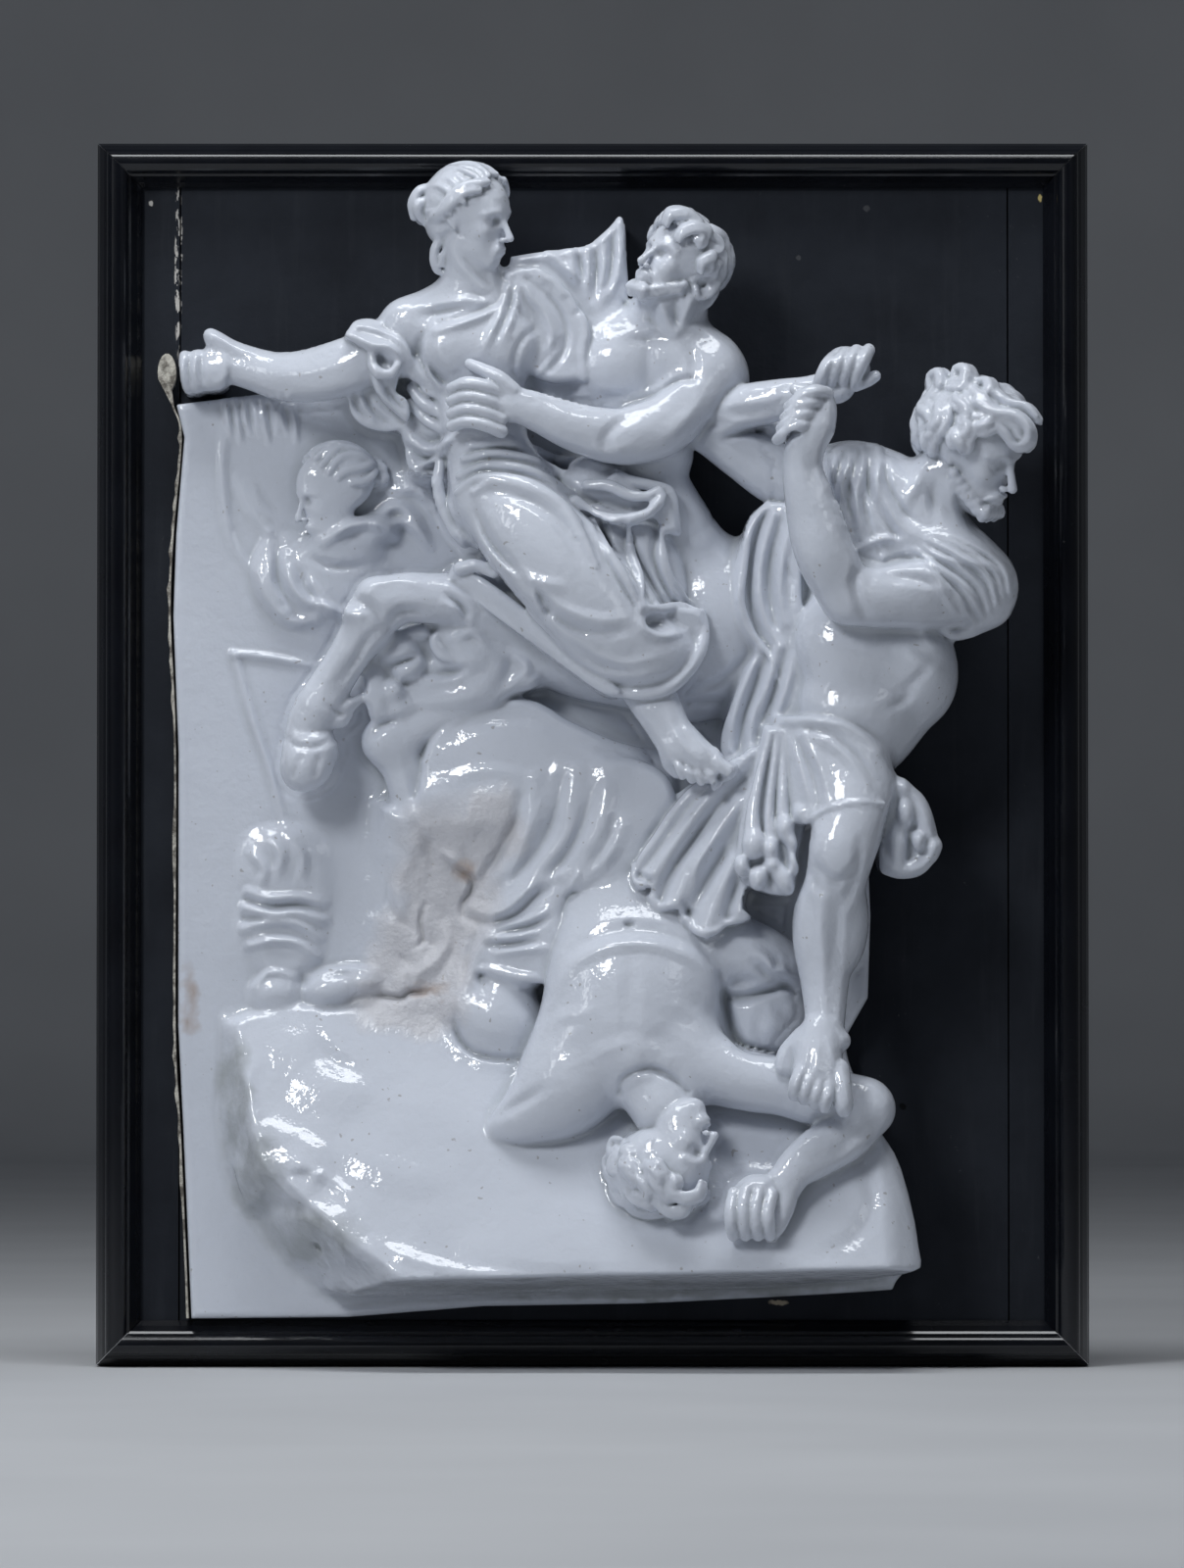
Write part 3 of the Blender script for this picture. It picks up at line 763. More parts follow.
def cloak(c):
    """The cloak thrown out to the lower left, in a few broad folds that end in a ragged hem."""
    edge = [(62, 2), (48, -5), (36, -13), (28, -22), (22, -31), (16, -40), (14.5, -47), (17, -51),
            (21, -50), (20.5, -55), (24, -58.5)]
    edge += [(30, -57.5), (33, -62), (37, -66), (41, -68.5), (45, -67), (48, -64), (52, -63.5),
             (57.5, -61), (54, -56)]
    edge += [(58, -48), (70, -50), (74, -30), (72, -4)]
    c.plate(edge, lambda x, z: 46 + 0.10 * (x - 50) * (x < 50) - 0.05 * (z + 30), 2.5, 1.5)
    broad = [[(60, 0), (44, -14), (32, -30), (23, -44), (18, -49)], [(64, -8), (48, -26), (36, -44),
        (30, -56)],
             [(66, -18), (54, -36), (46, -52), (41, -66)], [(66, -30), (57, -44), (54, -58)]]
    c.ridges(broad, 5.5, 3.4, (0.3, 0.7), 0.3)
    c.ridges([[(58, -8), (42, -26), (30, -42), (25, -54)], [(62, -20), (48, -38), (38, -54), (35, -62)],
              [(62, -34), (53, -48), (49, -60)], [(50, -6), (36, -20), (26, -34),
                                                  (18, -44)]], 3.2, -2.6, (0.2, 0.6), 0.6)
    c.ridges([[(55, -12), (44, -24), (40, -32)], [(46, -30), (38, -42), (37, -50)],
              [(58, -26), (50, -34), (50, -44)]],
             2.2, 1.2, (0.3, 0.3), 0.5)
    hem = [(15, -42), (15.6, -47.5), (19.4, -49), (21, -53), (24.5, -57), (29.5, -56.6), (34, -61.5),
           (39, -66.4), (44.5, -65.8)]
    hem += [(48.5, -63), (55.5, -60.8)]
    c.roll(hem, 1.8, 1.2, 1.0, (0.6, 0.6))
    c.ridge([(17.4, -46), (20.5, -47.6)], 2.2, -3.5, (0.8, 0.8), 0.5, 2)
    c.ridge([(33.5, -56), (35, -59)], 2.2, -2.5, (0.8, 0.8), 0.5, 2)


def side_cloth(c):
    """The cloth that comes from behind his shoulder, down his side and past his hip."""
    edge = [(64, 91), (59, 87), (56, 82), (54, 72), (52, 62), (53, 50), (57, 43), (60.5, 37), (57, 29),
            (51, 17), (47, 6)]
    edge += [(48, -3), (58, -6), (70, -4), (78, 10), (80, 24), (78, 40), (76, 56), (76, 74), (74, 88)]
    c.plate(edge, lambda x, z: 35 + 0.10 * (x - 55) + 0.40 * np.maximum(x - 60, 0), 3, 5)
    c.ridges([[(60, 89), (55.5, 76), (53.5, 60), (54.5, 48), (60, 38)], [(66, 86), (62, 74), (60, 60),
        (62, 48), (68, 38)],
              [(72, 84), (69, 70), (68, 58), (70, 46)]], 3.2, 2.6, (0.6, 0.5), 0.5)
    c.ridges([[(63, 86), (58.5, 74), (57, 60), (58.5, 48), (64, 38)], [(69, 84), (65.5, 72), (64.5, 60),
        (66.5, 46)]],
             2.4, -2.6, (0.3, 0.3), 0.7)
    c.ridges([[(61, 37), (56, 26), (51.5, 13), (50, 0)], [(67, 36), (63, 24), (58.5, 12), (57, -2)],
              [(73, 34), (70, 22), (66, 10), (64, 0)]], 3.0, 2.4, (0.5, 0.5), 0.5)
    c.ridges([[(64, 36), (60, 25), (55.5, 12), (53.5, 0)], [(70, 35), (67, 23), (62.5, 11), (61, 0)]], 2.4,
             -2.4, (0.3, 0.4), 0.7)
    c.ridges([[(57, 84), (55.6, 74), (55, 64)], [(62, 66), (61.6, 56), (64, 46)],
              [(66, 30), (63.5, 20), (60.5, 8)]], 1.6, 1.0, (0.3, 0.3), 0.6)
    c.roll([(63.5, 90), (57.5, 80), (55, 66), (54, 54), (58, 43), (64, 35), (68, 24)], 1.6, 1.4, 1.2,
           (0.5, 0.3))


def fallen(c):
    """The fallen man: his chest arched over the rock, his head hanging down, and his near arm folded."""
    p = c.piece((-50, -185, -2), (118, -28, 92))
    p.lump((19, -58, 24), (33, 24, 17), turn=-4, blend=10)
    p.lump((17, -80, 32), (32, 24, 22), turn=-8, blend=12)
    p.lump((13, -100, 34), (32, 28, 24), turn=-10, blend=12)
    p.lump((-8, -118, 35), (19, 25, 19), turn=-30, blend=10)
    p.tube([(-8, -122, 40, 15), (-22, -132, 38, 11.5), (-32, -137.5, 35, 7), (-38.5, -141, 33, 2.6)],
           blend=6)
    p.tube([(14, -108, 42, 17), (20, -120, 44, 13), (26, -130, 48, 12)], blend=5)
    p.tube([(34, -112, 42, 14), (48, -117.5, 44, 12), (58, -120, 45, 11.4), (70, -122, 46, 11),
            (84, -126, 46, 11.4), (98, -130, 45, 10.8)], blend=8)
    p.lump((101, -130.5, 46), (7.5, 7, 9), turn=-20, blend=3)
    p.tube([(98, -130, 45, 10.8), (91, -139, 50, 10.2), (81, -146, 54, 9.0), (73, -152, 57, 7.2),
            (69, -158, 58, 6.6)], blend=3)
    p.lump((56, -74, 24), (25, 13, 19), turn=-22, blend=9)
    p.lump((61, -98, 21), (20, 19, 18), turn=-12, blend=6)
    c.join(p, 1.5)


def fallen_detail(c):
    """The arch of his ribs, his chest and armpit, and his near hand closed on the rock."""
    c.ridge([(-15, -92), (-8, -79), (2, -72.5), (15, -70), (28, -72), (39, -78), (46, -90)], 4.5, 1.5,
            (0.3, 0.3), 0.2)
    c.ridge([(-6, -73), (4, -67), (15, -65.5), (27, -67), (38, -72)], 4.5, -1.2, (0.2, 0.2), 0.1)
    c.ridges([[(14, -74), (13.5, -88), (14, -104)]], 5, -0.8, (0.2, 0.2), 0.0)
    c.ridges([[(-10, -110), (2, -105), (13, -103), (24, -105), (36, -112)]], 5, -0.7, (0.2, 0.2), 0.0)
    c.ridges([[(-17, -100), (-8, -96), (2, -96)], [(28, -92), (36, -96), (44, -104)]], 4, 0.6, (0.2, 0.2),
             0.1)
    c.ridges([[(46, -82), (49, -94), (52, -104), (57, -109), (70, -111)]], 2.8, -3.2, (0.3, 0.2), 0.6)
    c.ridges([[(-16, -122), (-26, -128), (-36, -134)]], 3.4, -1.2, (0.2, 0.2), 0.3)
    c.ridge([(12.6, -63.5), (14, -63.4)], 2.0, -1.5, (0.9, 0.9), 0.5, 2)
    c.ridges([[(10, -124), (11.5, -119), (20, -115.6), (28, -118.5), (34, -124)]], 2.4, -2.2, (0.4, 0.4),
             0.6)
    c.ridges([[(14, -112), (16, -118)], [(27, -112), (26, -118)]], 3, 1.0, (0.3, 0.3), 0.3)
    c.ridges([[(58, -72), (63, -76), (66, -81), (69, -80), (74, -84)]], 3.2, 2.2, (0.3, 0.5), 0.5)
    c.ridges([[(58, -77), (63, -81), (68, -84), (73, -88)]], 2.6, -2.0, (0.3, 0.4), 0.7)
    c.ridges([[(48, -90), (56, -90), (66, -87), (74, -85)]], 3.2, -3.0, (0.4, 0.3), 0.7)
    c.ridges([[(62, -94), (60, -102), (63, -108)], [(66, -92), (70, -97), (74, -99)]], 4, -0.9, (0.2, 0.2),
             0.2)
    c.ridges([[(76, -139), (84, -133), (94, -130)], [(86, -146), (94, -140), (100, -136)]], 3.5, -1.1,
             (0.2, 0.2), 0.3)
    p = c.piece((40, -182, 20), (75, -148, 92))
    p.lump((59, -162, 60), (9.5, 8.5, 8), turn=20, blend=2)
    p.tube([(68, -157, 58, 6), (68.5, -163, 60, 5.2), (66.5, -171, 62, 3.8), (64.5, -175, 62, 2.8)],
           blend=1.2)
    for k in range(4):
        x = 49.5 + 4.4 * k
        knuckle = -158.5 - 1.4 * abs(k - 1.4)
        p.tube([(x + 1.5, knuckle, 65, 2.6), (x + 0.2, knuckle - 6, 69.2, 2.6), (x + 0.4, -171, 69.2, 2.6),
                (x + 1.2, -175.6, 64.5, 2.2)], blend=0.5)
    c.join(p, 1.0)
    c.ridges([[(54, -153), (60, -151.5), (66, -153)], [(57, -157), (59, -153)], [(62, -157), (63, -153)]],
             2, 0.7, (0.3, 0.3))


def strider(c):
    """The striding man's trunk, his arms with one hand holding the other, and his leading leg."""
    p = c.piece((25, -140, -2), (168, 150, 92))
    p.lump((104, 78, 32), (29, 31, 23), turn=20, blend=8)
    p.lump((102, 34, 34), (27, 34, 22), turn=15, blend=8)
    p.lump((116, 32, 36), (16, 22, 20), turn=20, blend=6)
    p.lump((92, 38, 44), (17, 19, 14), turn=10, blend=8)
    p.lump((95, 8, 34), (22, 20, 20), blend=8)
    p.lump((94, 16, 46), (17, 12, 12), turn=-10, blend=8)
    p.tube([(84, 98, 30, 14), (100, 97, 34, 14), (118, 83, 40, 16), (137, 62, 38, 15)], blend=6)
    p.tube([(110, 84, 38, 14), (119, 92, 42, 12.5), (128, 99, 46, 12)], blend=5)
    near = [(139, 57, 42, 12.5), (128, 56.5, 49, 12.6), (116, 55.5, 55, 12.4), (103, 54.5, 60, 11.2),
            (93, 54.5, 63, 9.8)]
    p.tube(near, blend=3)
    p.lump((116, 59, 60), (12, 8, 7), turn=4, blend=4)
    p.lump((91, 52.5, 62), (8.5, 6, 8), turn=-35, blend=3)
    p.tube([(92, 55, 63, 9.8), (86, 66, 66, 11), (81.5, 78, 68, 10.6), (77.5, 91, 70, 8.6),
            (75.5, 101, 71, 7.2), (76, 108, 72, 6.8)], blend=3)
    p.lump((81, 72, 70), (7, 13, 8), turn=18, blend=4)
    p.tube([(86, 96, 26, 12), (70, 100, 28, 11.6), (55, 108.5, 30, 9.8), (44, 116.5, 32, 9.2)], blend=3)
    p.lump((40.5, 117.5, 32), (7.5, 7.5, 8), turn=30, blend=3)
    p.tube([(43, 119.5, 33, 8.8), (54, 124, 38, 8.9), (66, 127, 43, 7.6), (77, 129.3, 47, 6.1),
            (83, 131, 48, 5.6)], blend=2)
    leg = [(93, -8, 46, 16), (93, -24, 54, 13.6), (90, -37, 57, 12.2), (88, -47, 55, 11.2),
           (85.5, -60, 51, 11.4)]
    p.tube(leg + [(84, -72, 50, 10.8), (84, -84, 51, 8.8), (84, -96, 54, 7.4), (83, -106, 57, 7.4)],
           blend=4)
    p.lump((88, -38, 62), (8, 9.5, 7), blend=4)
    p.lump((93, -64, 46), (7, 16, 10), turn=-4, blend=5)
    p.lump((80, -64, 50), (6.5, 13, 9), turn=4, blend=5)
    c.join(p, 1.5)
    c.ridges([[(83, -48), (82, -64), (83, -80), (83, -98)]], 3.6, 1.3, (0.2, 0.3), 0.5)
    c.ridges([[(88, -50), (88, -64), (87.5, -80)], [(97, -42), (93, -50), (90, -58)],
              [(79, -42), (81, -49), (84, -52)]],
             3.5, -1.3, (0.2, 0.2), 0.3)
    c.ridges([[(80, -32), (81, -42), (88, -48), (95, -42), (96, -33)]], 2.8, -1.4, (0.3, 0.3), 0.4)
    c.ridges([[(79, -103), (77, -108), (77, -113)], [(89, -103), (90.5, -109), (89, -114)]], 3.4, 1.3,
             (0.4, 0.4), 0.2)
    c.ridges([[(84, -92), (84, -102), (82, -112), (82, -120)]], 2.2, 0.9, (0.3, 0.3), 0.4)
    c.ridges([[(79, 118), (78, 104), (80, 92)], [(88, 88), (92, 76), (97, 66)]], 3.6, -0.9, (0.2, 0.2),
             0.2)
    c.ridges([[(97, 66), (94, 60), (96, 52), (99, 47)], [(104, 62), (114, 61), (126, 59)]], 3.2, -1.5,
             (0.2, 0.2), 0.4)
    c.ridges([[(46, 122), (58, 122.5), (68, 124)], [(38, 111), (42, 118), (50, 119)]], 3.2, -1.3,
             (0.2, 0.2), 0.3)
    c.ridges([[(48, 113), (56, 116), (64, 117.5)]], 2.2, -2.0, (0.3, 0.3), 0.7)


def strider_cloth(c):
    """The tunic over his chest and the sleeve on his near shoulder."""
    c.plate([(84, 111), (90, 112.5), (97, 112), (106, 107), (113, 97), (126, 84), (128, 78), (120, 69),
             (104, 63), (96, 70), (88, 84)],
            lambda x, z: 57 - 0.08 * (x - 104) - 0.10 * (z - 80), 3, 4)
    c.pleats([(84, 110), (86, 98), (90, 84), (97, 70)], [(101, 111), (101, 96), (104, 82), (108, 68)], 6,
             2.4, 0.2, (0.7, 0.6), 0.7, 3)
    c.ridges([[(103, 110), (103, 98), (107, 87), (114, 78), (124, 76)]], 3.4, 2.2, (0.5, 0.5), 0.4)
    c.ridges([[(106, 108), (106.5, 98), (110.5, 89), (117, 82), (127, 79)]], 2.0, -1.8, (0.5, 0.5), 0.7)
    c.ridges([[(99.5, 110), (99.5, 97), (103, 85), (110, 76)]], 2.0, -1.6, (0.5, 0.4), 0.7)
    c.tube([(117, 76, 50, 8.5), (130, 69, 48, 12.5), (141, 61, 43, 13), (143, 54, 42, 10)], blend=4)
    c.pleats([(112, 72), (120, 64), (129, 55), (136, 43)], [(126, 79), (140, 74), (151, 67), (153.5, 58)],
             6, 3.2, 0.25, (0.3, 0.5), 0.8, 3)
    c.ridges([[(122, 70), (132, 68), (143, 66), (151, 62)], [(118, 66), (126, 57), (133, 47)]], 2.6, 1.3,
             (0.2, 0.3), 0.5)
    c.tube([(127, 43.5, 50, 1.8), (131, 40.8, 48, 2), (137, 42, 45, 2.1), (143, 47, 42, 2.1),
            (149, 52.5, 38, 2), (153.5, 59, 32, 1.8)], 1.2)
    c.ridges([[(104, 66), (112, 69), (120, 68.5)]], 2.4, -1.6, (0.3, 0.3), 0.6)
    c.ridges([[(131, 97), (130, 90), (133, 82)], [(119, 104), (117, 96), (113, 89)]], 4, 1.6, (0.3, 0.3),
             0.3)
    c.ridges([[(125, 99), (123, 91), (124, 83)], [(137, 90), (137, 85), (140, 79)]], 3.6, -1.6, (0.3, 0.3),
             0.4)
    c.tube([(90, 82, 52, 2), (96, 70, 56, 2.3), (102, 64.5, 58, 2.2), (108, 63.5, 57, 1.8)], 1.2)


def kilt(c):
    """The short skirt: a smooth panel over the thigh, hanging lumps beside it and a bundle behind."""
    c.plate([(66, 12), (80, 11), (94, 8), (104, -2), (108, -14), (105, -20), (92, -20), (84, -23),
             (77, -27), (72, -24), (68, -8)],
            lambda x, z: 60.5 - 0.012 * (x - 88) ** 2 - 0.05 * z, 3, 3)
    c.ridges([[(64, 9.7), (72, 10.8), (82, 10.4), (91, 8), (98, 4), (103, 0)]], 3.4, 2.2, (0.4, 0.4), 0.2)
    c.ridges([[(66, 7), (74, 7.6), (84, 7), (91, 2.4), (98, -3), (106, -8)]], 2.2, -1.6, (0.4, 0.4), 0.7)
    c.ridges([[(75, 7), (75, -6), (76, -18), (77, -25)], [(80, 6), (79, -6), (78.5, -16), (79, -24)]], 2.4,
             1.5, (0.3, 0.5), 0.5)
    c.ridges([[(77.5, 6), (77, -8), (77.5, -20)], [(83, 6), (81.5, -4), (81, -16)]], 1.8, -1.3, (0.2, 0.3),
             0.7)
    c.ridges([[(80, 4), (90, -1), (97, -9), (102, -15)], [(86, 6), (94, 0.5), (101, -6), (106, -11)]], 3.4,
             1.5, (0.3, 0.3), 0.4)
    c.ridges([[(83, 5), (92, -1.5), (99, -9), (104, -14)], [(80, 0), (86, -6), (92, -12)]], 2.2, -1.1,
             (0.3, 0.3), 0.5)
    c.roll([(77, -26.5), (85, -22), (95, -19.8), (105, -20)], 1.3, 0.9, 0.8, (0.7, 0.7))
    # cloth gathered under the belt that hangs in soft folds and ends in lumps
    gather = [(62, 9), (74, 6), (77, -24), (75, -36), (73, -50), (68, -53), (60, -51), (53, -46),
              (53, -28), (58, -10)]
    c.plate(gather, lambda x, z: 47 + 0.14 * (8 - z) - 0.2 * np.abs(x - 66), 3, 2)
    strips = [((65.4, 5), (61, -9), (58.6, -23), (58.2, -32), 1.8, 3.9),
              ((68, 5), (65.4, -12), (64.5, -23), (65.2, -31), 1.6, 2.3),
              ((70.5, 5), (70.4, -6), (70.3, -16), (69.7, -27), 1.6, 3.0), ((73, 5), (74.8, -9), (74, -17),
                  (75.6, -22.6), 1.6, 3.3)]
    for *line, thin, thick in strips:
        path = spline(line, 5)
        t = np.linspace(0, 1, len(path))
        depth = 46.5 + 0.16 * (8 - path[:, 1])
        c.tube(np.column_stack([path, depth, thin + (thick - thin) * t**2]), blend=1.8, steps=1)
    lumps = [(58.4, -35, 4.0, 5.2, 0), (64.6, -36.5, 2.6, 3.6, 0), (53.8, -42.5, 2.8, 4.2, 12),
             (60, -46.8, 3.4, 4.6, -8), (65, -42, 2.8, 3.2, 0),
             (69, -47.5, 3.4, 5.8, 24), (69.8, -29, 3.0, 4.4, 0), (76, -23.4, 3.4, 3.4, 0), (72, -34, 2.2,
                 3.6, 14), (72.6, -41, 1.8, 4.6, 10)]
    for x, z, wide, high, turn in lumps:
        c.lump((x, z, 54.5 - 0.03 * (z + 30)), (wide, high, 4.4), turn=turn, blend=2.4)
    c.lump((75.6, -38, 57), (1.7, 3.6, 8), turn=-8, blend=1.5, hollow=True)
    # the bundle behind the thigh: a chain of lumps and a folded end whose tip is broken off flat
    back = [(96, 2), (104, -3), (111, -10), (119, -16), (123.5, -24), (125.6, -35), (122.8, -41),
            (117, -46), (108, -45), (104, -40), (104, -20)]
    c.plate(back, lambda x, z: 45.5 + 0.05 * (z + 30), 2.5, 1.5)
    c.tube([(94, -1, 54, 3), (100, -7, 53, 4), (105, -14, 51, 3.6), (108, -20, 48, 2.6)], 2)
    chain = [(106.8, -12.2, 51, 2.3, 4.2, 4), (112.2, -14.2, 49.5, 2.7, 3.5, 8),
             (114, -23.4, 49.5, 2.7, 5.4, 6),
             (117.4, -33.4, 49, 2.9, 3.5, 0), (123.4, -35.4, 46, 3.2, 3.6, -40)]
    for x, z, d, wide, high, turn in chain:
        c.lump((x, z, d), (wide, high, 4.0), turn=turn, blend=1.8)
    c.tube([(113, -15, 48, 2.4), (118, -18.5, 47.5, 3.0), (121, -23.5, 47, 3.1), (121.4, -29, 47, 2.9)],
           blend=1.6)
    c.tube([(110.5, -27.5, 47, 2.6), (109.4, -33, 48, 3.2), (108.6, -39.5, 47.5, 3.6)], blend=1.6)
    c.tube([(106.8, -43, 45, 2.4), (112, -43.4, 46, 3.0), (118.4, -41.5, 45.5, 3.2),
            (121.6, -39.6, 45, 2.6)], blend=1.6)


def fists(c):
    """His two clenched hands: the near one in front, the far one above and behind it."""
    p = c.piece((58, 100, 20), (110, 152, 92))
    p.lump((92.5, 138.5, 49), (8.6, 7.6, 7), turn=-28, blend=2)
    p.lump((89, 130.5, 48), (6.5, 5, 6), turn=20, blend=2)
    for k in range(4):
        x, z = 97.5 - 4.3 * k, 139.6 + 0.5 * k - 0.35 * k * k
        p.tube([(x + 2.5, z + 5 - 0.4 * k, 52, 2.5), (x + 0.2, z + 0.5, 56.6, 2.7),
                (x - 2.2, z - 4.6, 55.2, 2.5), (x - 2.4, z - 8.0, 51.5, 2.2)], blend=0.45)
    p.tube([(96.5, 132.5, 51, 2.6), (100, 133.6, 52, 2.3), (102.4, 135.2, 52, 2.2)], blend=0.7)
    c.join(p, 1.0)
    p = c.piece((58, 100, 30), (110, 152, 92))
    p.tube([(76, 104, 71, 6.8), (77.5, 110, 72, 7.0), (79.5, 115, 72, 7.6)], blend=3)
    p.lump((80.5, 118.5, 71), (7.2, 8.2, 7.6), turn=-20, blend=2)
    p.lump((83, 122, 71), (4.6, 6.6, 6), turn=-10, blend=2)
    for k in range(4):
        x, z = 77.8 - 1.4 * k, 126.0 - 3.9 * k
        p.tube([(x + 6.4, z + 1.2, 74, 2.6), (x + 1.4, z + 1.6, 78.6, 2.7), (x - 4.2, z - 1.6, 77.2, 2.5),
                (x - 7.2, z - 3.6, 72.6, 2.1)], blend=0.45)
    p.tube([(80, 127, 73, 2.6), (76.5, 128.4, 75, 2.5), (73, 128.7, 76, 2.3)], blend=0.7)
    p.lump((72, 111.5, 78), (2.6, 1.8, 5), turn=35, blend=1.2, hollow=True)
    c.join(p, 1.0)


def strider_foot(c):
    p = c.piece((60, -140, 20), (104, -92, 92))
    p.tube([(83, -102, 57, 7.6), (81.5, -110, 60, 8.6), (81, -118, 62, 9.2)], blend=3)
    p.lump((75.5, -107, 58), (3.4, 3.4, 4), blend=2.5)
    p.lump((90, -105.5, 58), (3.2, 3.6, 4), blend=2.5)
    p.tube([(77, -106, 54, 6), (71.5, -111, 54, 5), (70, -115, 55, 4)], blend=3)
    for k in range(4):
        x, low = 72.6 + 3.7 * k, -123.0 - 1.5 * k
        p.tube([(x + 2.6 - 0.4 * k, -116, 66, 2.9), (x + 0.8, low + 3.2, 70.3, 2.6), (x, low, 69.6, 2.5),
                (x - 0.2, low - 2.2, 67.5, 2.1)], blend=0.5)
    p.tube([(88.5, -116, 64, 4.2), (89.4, -122, 67.6, 3.8), (90.2, -127.6, 68, 3.7),
            (90.4, -130.2, 66, 3.0)], blend=0.6)
    c.join(p, 1.0)
    c.ridges([[(78, -106), (76.5, -113), (75, -118)], [(81, -106), (80.5, -113), (79.5, -119)],
              [(85, -106), (86.5, -112), (88, -118)]],
             1.8, 0.7, (0.3, 0.3), 0.4)


def plain_head(c, centre, turn, size, volume=1.0):
    """A head's mass with its hair, without features."""
    c.lump(centre, (0.37 * size * volume, 0.46 * size * volume, 0.42 * size * volume), turn=turn, blend=4)


def plain_heads(c):
    plain_head(c, (-45, 193, 44), 0, 37)
    c.lump((-62, 198, 39), (5, 7.5, 7), blend=3)
    c.tube([(-55, 186, 44, 3), (-57.5, 180, 43, 3), (-56, 174, 42, 2.5)], blend=2)
    plain_head(c, (32, 177, 40), 0, 37)
    c.lump((24, 166, 48), (8, 6, 8), blend=4)
    plain_head(c, (138, 110, 49), 15, 44, 1.06)
    c.lump((147, 92, 55), (8.5, 9, 9), turn=15, blend=5)
    plain_head(c, (27, -149, 55), -15, 40, 1.05)


def low_relief(c):
    """The pressed head and cloak, the raised triangle and the vase on the ground at the left."""
    c.lump((-94, 95, 8), (17, 17, 8), turn=-12, blend=3)
    c.lump((-100, 62, 8), (30, 22, 7), turn=-12, blend=5)
    c.lump((-113, -48, 10), (15, 20, 8), blend=4)
    c.lump((-112, -72, 10), (15, 12, 8), blend=4)
    c.lump((-116, -88, 9), (11, 9.5, 9), turn=10, blend=1.5)
    c.lump((-95, -88, 10), (12, 9, 8), turn=10, blend=3)


def build_clay(step):
    c = Clay(RELIEF_LOW, RELIEF_HIGH, step)
    for part in (ground, rock, barrel, stump, horse, mane, middle_cloth, centaur, woman, woman_cloth,
                 sleeve,
                 skirt, hand_and_foot, cloak, side_cloth, fallen, fallen_detail, strider, strider_cloth,
                 kilt, fists, strider_foot, low_relief, plain_heads):
        part(c)
    c.back(0.5, RELIEF_GAP)
    return c


# ---------------------------------------------------------------- mesh
def fill_pockets(clay):
    """Closes voids that the outside can't reach, and drops crumbs that the body doesn't touch."""
    solid = clay.value < 0
    reached = flooded(~solid, (0, 0, solid.shape[2] - 1))
    clay.value = np.where(~solid & ~reached, -clay.step, clay.value)
    ground = [int(round(c / clay.step)) - f for c, f in zip((-140, 0, 5), clay.first)]
    body = flooded(clay.value < 0, tuple(ground))
    clay.value = np.where((clay.value < 0) & ~body, clay.step, clay.value)


def flooded(free, start):
    """The free cells that can be reached from the start through the cells' faces."""
    reached = np.zeros_like(free)
    reached[start] = True
    while True:
        before = reached.sum()
        for axis in range(3):
            cells, open_cells = np.moveaxis(reached, axis, 0), np.moveaxis(free, axis, 0)
            for k in range(1, len(cells)):
                cells[k] |= cells[k - 1] & open_cells[k]
            for k in range(len(cells) - 2, -1, -1):
                cells[k] |= cells[k + 1] & open_cells[k]
        if reached.sum() == before:
            return reached


def skin(clay):
    """The clay's surface as points and triangles, by marching tetrahedra, which always closes."""
    value = clay.value
    least = 0.06 * clay.step
    value = np.where(np.abs(value) < least, np.where(value < 0, -least, least), value)
    corners = [(i, j, k) for i in (0, 1) for j in (0, 1) for k in (0, 1)]
    numbers, points, count = {}, [], 0
    for step in corners[1:]:
        near = value[tuple(slice(0, n - s) for n, s in zip(value.shape, step))]
        far = value[tuple(slice(s, None) for s in step)]
        place = np.argwhere((near < 0) != (far < 0))
        a, b = near[tuple(place.T)], far[tuple(place.T)]
        points.append(place + (a / (a - b))[:, None] * np.array(step))
        table = np.full(value.shape, -1, np.int32)
        table[tuple(place.T)] = count + np.arange(len(place))
        numbers[step] = table
        count += len(place)
    inside = value < 0
    cells = [inside[tuple(slice(c, n - 1 + c) for c, n in zip(corner,
        value.shape))] for corner in corners]
    total = np.sum(cells, axis=0)
    active = np.argwhere((total > 0) & (total < 8))
    triangles = []
    for order in ((0, 1, 2), (0, 2, 1), (1, 0, 2), (1, 2, 0), (2, 0, 1), (2, 1, 0)):
        tetra = np.zeros((4, 3), int)
        for k, axis in enumerate(order):
            tetra[k + 1 :, axis] = 1
        code = sum(inside[tuple((active + corner).T)] * 2**k for k, corner in enumerate(tetra))
        for case in range(1, 15):
            cell = active[code == case]
            if len(cell):
                triangles += tetra_faces(tetra, case, cell, numbers)
    where = (np.vstack(points) + clay.first) * clay.step
    return where, np.vstack(triangles)


def tetra_faces(tetra, case, cell, numbers):
    """The triangles that cut one kind of tetrahedron, facing away from its inside corners."""
    within = [k for k in range(4) if case >> k & 1]
    without = [k for k in range(4) if not case >> k & 1]
    if len(within) == 2:
        (a, b), (c, d) = within, without
        ring = [(a, c), (a, d), (b, d), (b, c)]
        faces = [ring[:3], [ring[0], ring[2], ring[3]]]
    else:
        single, others = (within[0], without) if len(within) == 1 else (without[0], within)
        faces = [[(single, other) for other in others]]
    outward = tetra[without].mean(0) - tetra[within].mean(0)
    result = []
    for face in faces:
        p = [(tetra[a] + tetra[b]) / 2 for a, b in face]
        if np.cross(p[1] - p[0], p[2] - p[0]) @ outward < 0:
            face = face[::-1]
        result.append(np.column_stack([edge_number(tetra, *pair, cell, numbers) for pair in face]))
    return result


